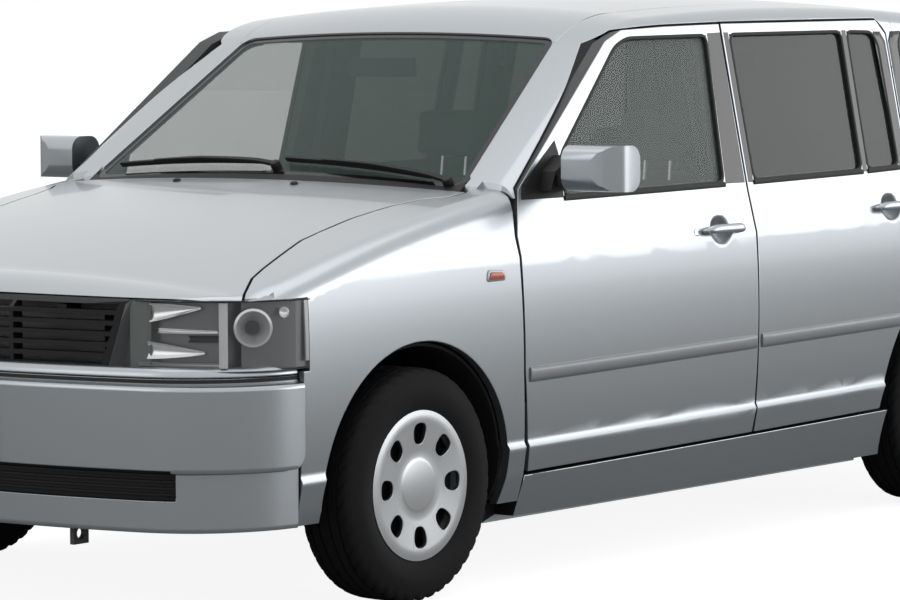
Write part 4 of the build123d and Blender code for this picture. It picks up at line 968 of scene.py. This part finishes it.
def tyre_shape(end, hand, s):
    """A tyre with its tread: straight grooves round it and short cuts across it."""
    ax, track = TRACKS[end]
    tread = []
    for k, a in enumerate(RIB_EDGES):
        crown = TYRE_R - 0.000385 * a * a - (1.2 if abs(a) > 60 else 0)
        tread.append((a, crown))
        if k in GROOVES:
            tread += [(a + 0.8, crown - GROOVE_DEPTH), (RIB_EDGES[k + 1] - 0.8, crown - GROOVE_DEPTH)]
    line = TYRE_SIDE + tread + [(-a, r) for a, r in TYRE_SIDE[::-1]]
    pts = np.zeros((TYRE_STEPS, len(line), 3))
    for i in range(TYRE_STEPS):
        for j, (a, r) in enumerate(line):
            turn = 2 * pi * i / TYRE_STEPS + TREAD_SLANT * abs(a)
            if i % 4 == 0 and 44 < abs(a) < 79 and r > 270:
                r -= SHOULDER_CUT
            if i % 4 == 2 and abs(a) < 15 and r > 284:
                r -= MIDDLE_CUT
            pts[i, j] = (ax + r * cos(turn), s * track + a, HUB_Z + r * sin(turn))
    tyre = Shape(f"tyre_{end}_{hand}_dressed")
    tyre.grid(pts, "tyre", True, True)
    tyre.make(f"wheel_{end}_{hand}", 40, [f"tyre_{end}_{hand}"])


def wheel_cap(end, hand, s):
    """Silver oval edges and black walls for the openings of the wheel's cover."""
    ax, track = TRACKS[end]
    cap = Shape(f"wheel_cap_{end}_{hand}")
    turns = np.linspace(0, 2 * pi, 41)[:-1]
    wide, tall = np.cos(turns), np.sin(turns)
    oval = (np.abs(wide) ** OVAL_POWER + np.abs(tall) ** OVAL_POWER) ** (-1 / OVAL_POWER)
    square = 1 / np.maximum(np.abs(wide), np.abs(tall))
    loops = [(square * 1.05, 0.3), (oval * 0.96, 0.3), (oval * 0.91, -1.2), (oval * 0.86, -9),
             (square * 1.05, -9)]
    for k in range(CAP_OPENINGS):
        a = 2 * pi * k / CAP_OPENINGS
        ring = np.zeros((len(turns), len(loops), 3))
        for j, (reach, lift) in enumerate(loops):
            r = OPENING_R + OPENING_HALF * reach * tall
            u = reach * wide * (22 + 8 * (r - 100) / 58)      # openings widen outwards
            h = np.interp(np.hypot(r, u), *CAP_FACE) + lift
            x, z = ax + r * cos(a) - u * sin(a), HUB_Z + r * sin(a) + u * cos(a)
            ring[:, j] = np.stack([x, s * (track + h), z], 1)
        cap.grid(ring[:, :3], "silver", True, False)
        cap.grid(ring[:, [2, 3, 4, 0]], "black", True, False)
    cap.make(f"wheel_{end}_{hand}")


def mirror_finish(c, n, inner):
    if inner:
        return "mirror"
    return "black" if abs(c[1]) < 856 or n.x < -0.9 else "paint"


def mirror_face(c, n):
    return n.x < -0.9 and abs(c[1]) > 870 and c[2] > 1002


def wheel_finish(c, n, _):
    """Silver where the cover faces outwards, black in its openings and cast metal behind it."""
    ax, track = TRACKS["front" if c[0] > 0 else "rear"]
    r, h = hypot(c[0] - ax, c[2] - HUB_Z), abs(c[1]) - track
    if h < 30:
        return "cast"
    outward = n.y if c[1] > 0 else -n.y
    return "black" if r < 165 and (h < 62 or outward < 0.35) else "silver"


for hand, s in HANDS:
    smooth_copy(f"mirror_{hand}", ["paint", "black", "mirror"], choose=mirror_finish,
                inset=(mirror_face, 9))
    for end in ("front", "rear"):
        smooth_copy(f"wheel_{end}_{hand}", ["silver", "black", "cast"], 30, wheel_finish)
        tyre_shape(end, hand, s)
        wheel_cap(end, hand, s)

# Seats, as cloth blown over their pads

CLOTH_FRAMES = 20


def pad_block(outline, y0, y1, inset):
    """A closed block from a side outline, drawn in on every side by about inset."""
    pts = np.array(outline, float)
    mid = pts.mean(0)
    size = np.abs(pts - mid).max(0)
    pts = mid + (pts - mid) * (1 - inset / np.maximum(size, inset * 2))
    bm = bmesh.new()
    ends = [[bm.verts.new((x * MM, y * MM, z * MM)) for x, z in pts] for y in (y0 + inset, y1 - inset)]
    n = len(pts)
    bm.faces.new(ends[0])
    bm.faces.new(ends[1][::-1])
    for i in range(n):
        bm.faces.new([ends[0][i], ends[1][i], ends[1][(i + 1) % n], ends[0][(i + 1) % n]])
    bmesh.ops.recalc_face_normals(bm, faces=bm.faces)
    me = bpy.data.meshes.new("pad")
    bm.to_mesh(me)
    bm.free()
    return me


def settled(o):
    """The object's mesh with its modifiers worked in."""
    deps = bpy.context.evaluated_depsgraph_get()
    made = bpy.data.meshes.new_from_object(o.evaluated_get(deps))
    o.modifiers.clear()
    old = o.data
    o.data = made
    bpy.data.meshes.remove(old)


def blown_pads(specs):
    """Cloth pads: remeshed blocks under pressure, with a cap on how far a point may move."""
    made = []
    for name, outline, y0, y1, inset, voxel, cap in specs:
        o = bpy.data.objects.new(name, pad_block(outline, y0, y1, inset))
        bpy.context.scene.collection.objects.link(o)
        grid = o.modifiers.new("grid", "REMESH")
        grid.mode, grid.voxel_size = "VOXEL", voxel
        settled(o)
        start = np.array([v.co[:] for v in o.data.vertices])
        cloth = o.modifiers.new("cloth", "CLOTH")
        c = cloth.settings
        c.quality, c.mass, c.tension_stiffness, c.compression_stiffness = 4, 0.3, 12, 12
        c.shear_stiffness, c.bending_stiffness, c.use_pressure, c.uniform_pressure_force = 5, 0.4, True, 4.0
        c.effector_weights.gravity = 0
        cloth.point_cache.frame_start, cloth.point_cache.frame_end = 1, CLOTH_FRAMES
        made.append((o, start, cap))
    for frame_no in range(1, CLOTH_FRAMES + 1):
        bpy.context.scene.frame_set(frame_no)
    for o, start, cap in made:
        settled(o)
        move = np.array([v.co[:] for v in o.data.vertices]) - start
        size = np.linalg.norm(move, axis=1)[:, None]
        now = start + move * np.minimum(1, cap * MM / np.maximum(size, 1e-9))
        o.data.vertices.foreach_set("co", now.ravel())
        o.modifiers.new("fine", "SUBSURF").levels = 1
        settled(o)
        o.data.materials.clear()
        o.data.materials.append(FINISH["fabric"])
        for f in o.data.polygons:
            f.use_smooth = True
    bpy.context.scene.frame_set(1)
    return [o for o, _, _ in made]


SEAT_Y, REAR_REST_Y = 370, 300
SEAT = [(-150, 334), (348, 334), (357, 398), (330, 446), (-60, 418), (-146, 428)]
BACK = [(-150, 434), (-66, 426), (-192, 780), (-252, 958), (-300, 996), (-336, 982), (-326, 900), (-248, 620),
        (-190, 434)]
HEAD = [(-284, 1044), (-303, 1176), (-367, 1186), (-386, 1052), (-340, 1034)]
REAR_SEAT = [(-484, 424), (-474, 470), (-502, 516), (-900, 492), (-926, 496), (-926, 492), (-990, 492),
             (-890, 424)]
REAR_BACK = [(-934, 502), (-904, 500), (-1012, 850), (-1052, 981), (-1100, 995), (-1126, 978), (-1078, 800),
             (-1000, 502)]
REAR_HEAD = [(-1072, 994), (-1083, 1106), (-1138, 1116), (-1156, 1012), (-1110, 990)]
# the pads that stand for the solids' seats
REPLACED = {"seat_cushion_left": "front_seats", "rear_seat_cushion": "rear_seat"}
# pads: name, side outline, from y to y, how far the block is drawn in, its mesh in metres, cap on the swelling
specs = []
for hand, s in HANDS:
    y = s * SEAT_Y
    specs += [(f"seat_cushion_{hand}", SEAT, y - 243, y + 243, 11, 0.010, 10),
              (f"seat_back_{hand}", BACK, y - 233, y + 233, 9, 0.010, 9),
              (f"head_rest_{hand}", HEAD, y - 123, y + 123, 8, 0.009, 8),
              (f"rear_head_rest_{hand}", REAR_HEAD, s * REAR_REST_Y - 118, s * REAR_REST_Y + 118, 8, 0.009, 8)]
specs += [("rear_seat_cushion", REAR_SEAT, -527, 527, 9, 0.012, 9),
          ("rear_seat_back", REAR_BACK, -527, 527, 9, 0.012, 9)]
for o in blown_pads(specs):
    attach(o, "body")
    if o.name in REPLACED:
        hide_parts(REPLACED[o.name])
frames = Shape("seat_frames")
for _, s in HANDS:
    y = s * SEAT_Y
    frames.box((-118, y - 183, 214.5), (298, y - 150, 262), "black")
    frames.box((-118, y + 150, 214.5), (298, y + 183, 262), "black")
    frames.box((-116, y - 183, 262), (296, y + 183, 336), "trim_dark")
    for dy in (-44, 44):
        frames.lathe([(0, 0), (6, 0), (6, 72), (0, 72)], (-330, y + dy, 982), (-0.12, 0, 1), "chrome", 18)
    frames.lathe([(0, 0), (26, 0), (26, 12), (20, 16), (0, 16)], (-168, y + s * 229, 448), (0, s, 0), "black",
                 28)
for y in (-340, -260, 260, 340):
    frames.lathe([(0, 0), (6, 0), (6, 60), (0, 60)], (-1105, y, 962), (-0.12, 0, 1), "chrome", 18)
frames.make("body")

# Cabin fittings

STEERING_Y = -370       # the steering wheel is on the right
GEAR_LEVER = [(0, 0), (26, 0), (22, 10), (7, 16), (6, 100), (16, 104), (19, 120), (15, 134), (0, 138)]
DIAL_RING = [(0, 0), (46, 0), (46, 3), (42, 4), (42, 2), (0, 2)]
DOOR_REST = [(-22, -20), (22, -20), (24, 6), (16, 22), (-16, 22), (-24, 6)]
fit = Shape("dashboard_fittings")
arch = np.linspace(0.05, pi - 0.05, 24)
fit.sweep([(596 + 4 * cos(t), STEERING_Y + 150 * cos(t), 868 + 42 * sin(t)) for t in arch], (-1, 0, 0),
          strip(3, -30, 14), "trim_dark")
for y in (-590, -150, 150, 590):
    fit.box((592, y - 55, 818), (599.4, y + 55, 858), "black")
    for k in range(4):
        fit.box((589, y - 50, 823 + 8.6 * k), (594, y + 50, 825 + 8.6 * k), "trim_dark")
for dy in (-62, 62):
    fit.lathe(DIAL_RING, (599, STEERING_Y + dy, 856), (-1, 0, 0), "black", 40)
fit.box((594, -95, 740), (599.5, 95, 796), "black")
for y in (-62, 0, 62):
    fit.lathe([(0, 0), (15, 0), (15, 3), (11, 14), (0, 14)], (597, y, 716), (-1, 0, 0), "black", 28)
fit.box((594, 210, 722), (599.5, 560, 800), "trim_dark")
fit.lathe(GEAR_LEVER, (520, 0, 640), (-0.14, 0, 1), "black", 28)
fit.make("body")
inner = Shape("inner_mirror_and_visors")
inner.box((452, -112, 1286), (470, 112, 1338), "black")
inner.box((450.8, -104, 1292), (452.4, 104, 1332), "mirror")
for y0, y1 in ((-520, -130), (130, 520)):
    inner.plate([(330, y0), (330, y1), (180, y1), (180, y0)], ROOFLINE, 2, -42, 12, "lining", 1450, 40, 4)
inner.make("body")
for hand, s in HANDS:
    for end, x0, x1 in (("front", 40, 560), ("rear", -760, -260)):
        rest = Shape(f"door_rest_{end}_{hand}")
        y = s * 716
        line = [(x, y, 735 + 10 * cos(pi * (x - x0) / (x1 - x0))) for x in np.linspace(x0, x1, 20)]
        rest.sweep(line, (0, -s, 0), DOOR_REST, "trim_dark")
        rest.lathe([(0, 0), (17, 0), (17, 5), (12, 9), (0, 9)], (x0 + 110, y - s * 4, 640), (0, -s, 0), "black",
                   24)
        rest.make(f"door_{end}_{hand}")

# Tail: lamps, handle, plate and wiper

dress_panel("tail_lamps", [ROOFLINE, FLANK], [(0, 1, 62.0)], ((0, 0.03), (1, 0.02), (2, 0.03)),
            outer="red", edge="lamp_dark", inner="lamp_dark", tol=2.0)
TAIL_X = -2000.0
# plates on the tailgate: half width and height at the bottom and at the top, lift, depth, finish, step, edge
TAIL_PLATES = [(262, 894, 250, 946, 14, 16, "paint", 30, 5), (236, 898, 234, 905, 15, 3, "black", 60, 1),
               (170, 716, 170, 886, 1.6, 3, "black", 60, 1), (165, 721, 165, 881, 3.2, 2, "bezel", 60, 1)]
tail = Shape("tailgate_trim")
for y0, z0, y1, z1, lift, depth, finish, step, soft in TAIL_PLATES:
    tail.plate([(-y0, z0), (y0, z0), (y1, z1), (-y1, z1)], ROOFLINE, 0, lift, depth, finish, TAIL_X - 50, step,
               soft)
(pivot,), (up,) = settle([(TAIL_X, 0.0, 1040.0)], ROOFLINE, 0, 4)
tail.lathe([(0, -8), (17, -8), (17, 12), (12, 18), (0, 19)], pivot, up, "black", 28)
arm, up = settle([(TAIL_X, -290 * t, 1046 + 26 * t) for t in np.linspace(0, 1, 12)], ROOFLINE, 0, 16)
tail.sweep(arm, up, strip(7, -3, 3, 5), "black", np.stack([np.linspace(1.1, 0.6, 12)] * 2, 1))
blade, up = settle([(TAIL_X, y, 1072.0) for y in np.linspace(-440, -120, 16)], ROOFLINE, 0, 8)
tail.sweep(blade, up, strip(4, -6, 4, 3), "rubber")
tail.make("tailgate")

# Screen wipers and washers

WIPER_HEEL = 938


def screen_line(points, lift=0.0):
    """Places on the screen or the cowl for points seen from above, and the outward directions there."""
    return settle([(x, y, 1100.0) for x, y in points], ROOFLINE, 2, lift)


wipe = Shape("screen_wipers")
for tip, pivot, x in ((-560, 20, 916), (40, 600, 920)):
    (heel,), (up,) = screen_line([(WIPER_HEEL, pivot)], 6)
    wipe.lathe([(0, -14), (14, -14), (14, 6), (10, 12), (0, 13)], heel, up, "black", 24)
    t = np.linspace(0, 1, 16)
    arm, up = screen_line([(WIPER_HEEL + (x - WIPER_HEEL) * k, pivot + (tip + 130 - pivot) * k) for k in t])
    arm = arm + up * np.interp(t, (0, 0.15, 0.6, 1), (12, 20, 22, 16))[:, None]
    wipe.sweep(arm, up, strip(7, -3, 3, 5), "black",
               np.stack([np.linspace(1.2, 0.5, 16), np.linspace(1.2, 0.7, 16)], 1))
    blade, up = screen_line([(x - 4 + 14 * k, tip + (pivot - 60 - tip) * k) for k in np.linspace(0, 1, 20)])
    wipe.sweep(blade + up * 11, up, strip(5, -2, 4, 3), "black")
    wipe.sweep(blade + up * 4, up, strip(2, -4, 5, 2.5), "rubber")
wipe.make("body")

jets = Shape("washer_jets")
for y in (-205, 205):
    (spot,), (up,) = settle([(1085.0, y, 1000.0)], HOOD, 2)
    jets.lathe([(0, -4), (11, -4), (11, 2), (8, 6), (0, 8)], spot, up, "black", 20)
jets.make("bonnet")

# Floor, light and camera

FLOOR_GREY, FLOOR_GLOW = 0.34, 0.90
WORLD_LIGHT = 0.42          # strength of the white world on the object; to the camera it is 1
# soft boxes: place, aim, size and power
SOFT_BOXES = {
    "overhead": ((0.6, 0.6, 5.2), (0, 0, 0.6), (6.0, 4.0), 60),
    "fill_left": ((-3.2, 9.5, 1.7), (1.4, 0.8, 0.7), (4.5, 2.6), 85),
    "fill_nose": ((7.5, -1.5, 3.2), (1.2, 0, 0.7), (4.0, 2.5), 25),
    "long_box": ((-7.5, 7.0, 3.1), (0, 0.8, 0.9), (9.0, 4.0), 230),
}
CAMERA_AT = (8.788, 6.719, 1.417)
CAMERA_TURN, CAMERA_LOOK_DOWN, CAMERA_ROLL = radians(127.92), radians(4.009), radians(-0.275)
FOCAL_PIXELS, FRAME_PIXELS, SENSOR = 3869.3, 900, 36.0


def build_floor():
    bm = bmesh.new()
    bmesh.ops.create_grid(bm, x_segments=8, y_segments=8, size=60)
    me = bpy.data.meshes.new("studio_floor")
    bm.to_mesh(me)
    bm.free()
    f = Finish("studio_floor", (FLOOR_GREY,) * 3, 0.9, 0.0, {
        "Specular IOR Level": 0.1, "Emission Color": (1, 1, 1, 1)})
    f.set("Emission Strength", f.node("ShaderNodeLightPath", out="Is Camera Ray") * FLOOR_GLOW)
    me.materials.append(f.mat)
    floor = bpy.data.objects.new("studio_floor", me)
    floor.location.z = -0.0005
    bpy.context.scene.collection.objects.link(floor)


def build_world():
    world = bpy.data.worlds.new("studio")
    bpy.context.scene.world = world
    world.use_nodes = True
    tree = world.node_tree
    back = tree.nodes["Background"]
    back.inputs["Color"].default_value = (1, 1, 1, 1)
    rays = tree.nodes.new("ShaderNodeLightPath").outputs
    seen = Flow(tree, rays["Is Camera Ray"])
    for kind in ("Is Transmission Ray", "Is Glossy Ray"):
        seen = seen.step("MAXIMUM", seen, Flow(tree, rays[kind]))
    strength = WORLD_LIGHT + seen * (1 - WORLD_LIGHT)
    tree.links.new(strength.socket, back.inputs["Strength"])


def soft_box(name, at, aim, size, power):
    data = bpy.data.lights.new(name, "AREA")
    data.shape, data.size, data.size_y, data.energy = "RECTANGLE", size[0], size[1], power
    o = bpy.data.objects.new(name, data)
    bpy.context.scene.collection.objects.link(o)
    o.location = at
    o.rotation_euler = (Vector(aim) - Vector(at)).to_track_quat("-Z", "Y").to_euler()


def build_camera():
    a, e, roll = CAMERA_TURN, CAMERA_LOOK_DOWN, CAMERA_ROLL
    back = Vector((sin(a) * cos(e), -cos(a) * cos(e), sin(e)))
    right = (-back).cross(Vector((0, 0, 1))).normalized()
    up = right.cross(-back)
    data = bpy.data.cameras.new("camera")
    data.sensor_width, data.lens = SENSOR, FOCAL_PIXELS / FRAME_PIXELS * SENSOR
    data.clip_start, data.clip_end = 0.5, 300
    cam = bpy.data.objects.new("camera", data)
    bpy.context.scene.collection.objects.link(cam)
    turned = (right * cos(roll) + up * sin(roll), up * cos(roll) - right * sin(roll), back)
    m = Matrix(turned).transposed().to_4x4()
    m.translation = Vector(CAMERA_AT)
    cam.matrix_world = m
    bpy.context.scene.camera = cam


build_floor()
build_world()
for name, (at, aim, size, power) in SOFT_BOXES.items():
    soft_box(name, at, aim, size, power)
build_camera()
view = bpy.context.scene.view_settings
view.view_transform = "Standard"
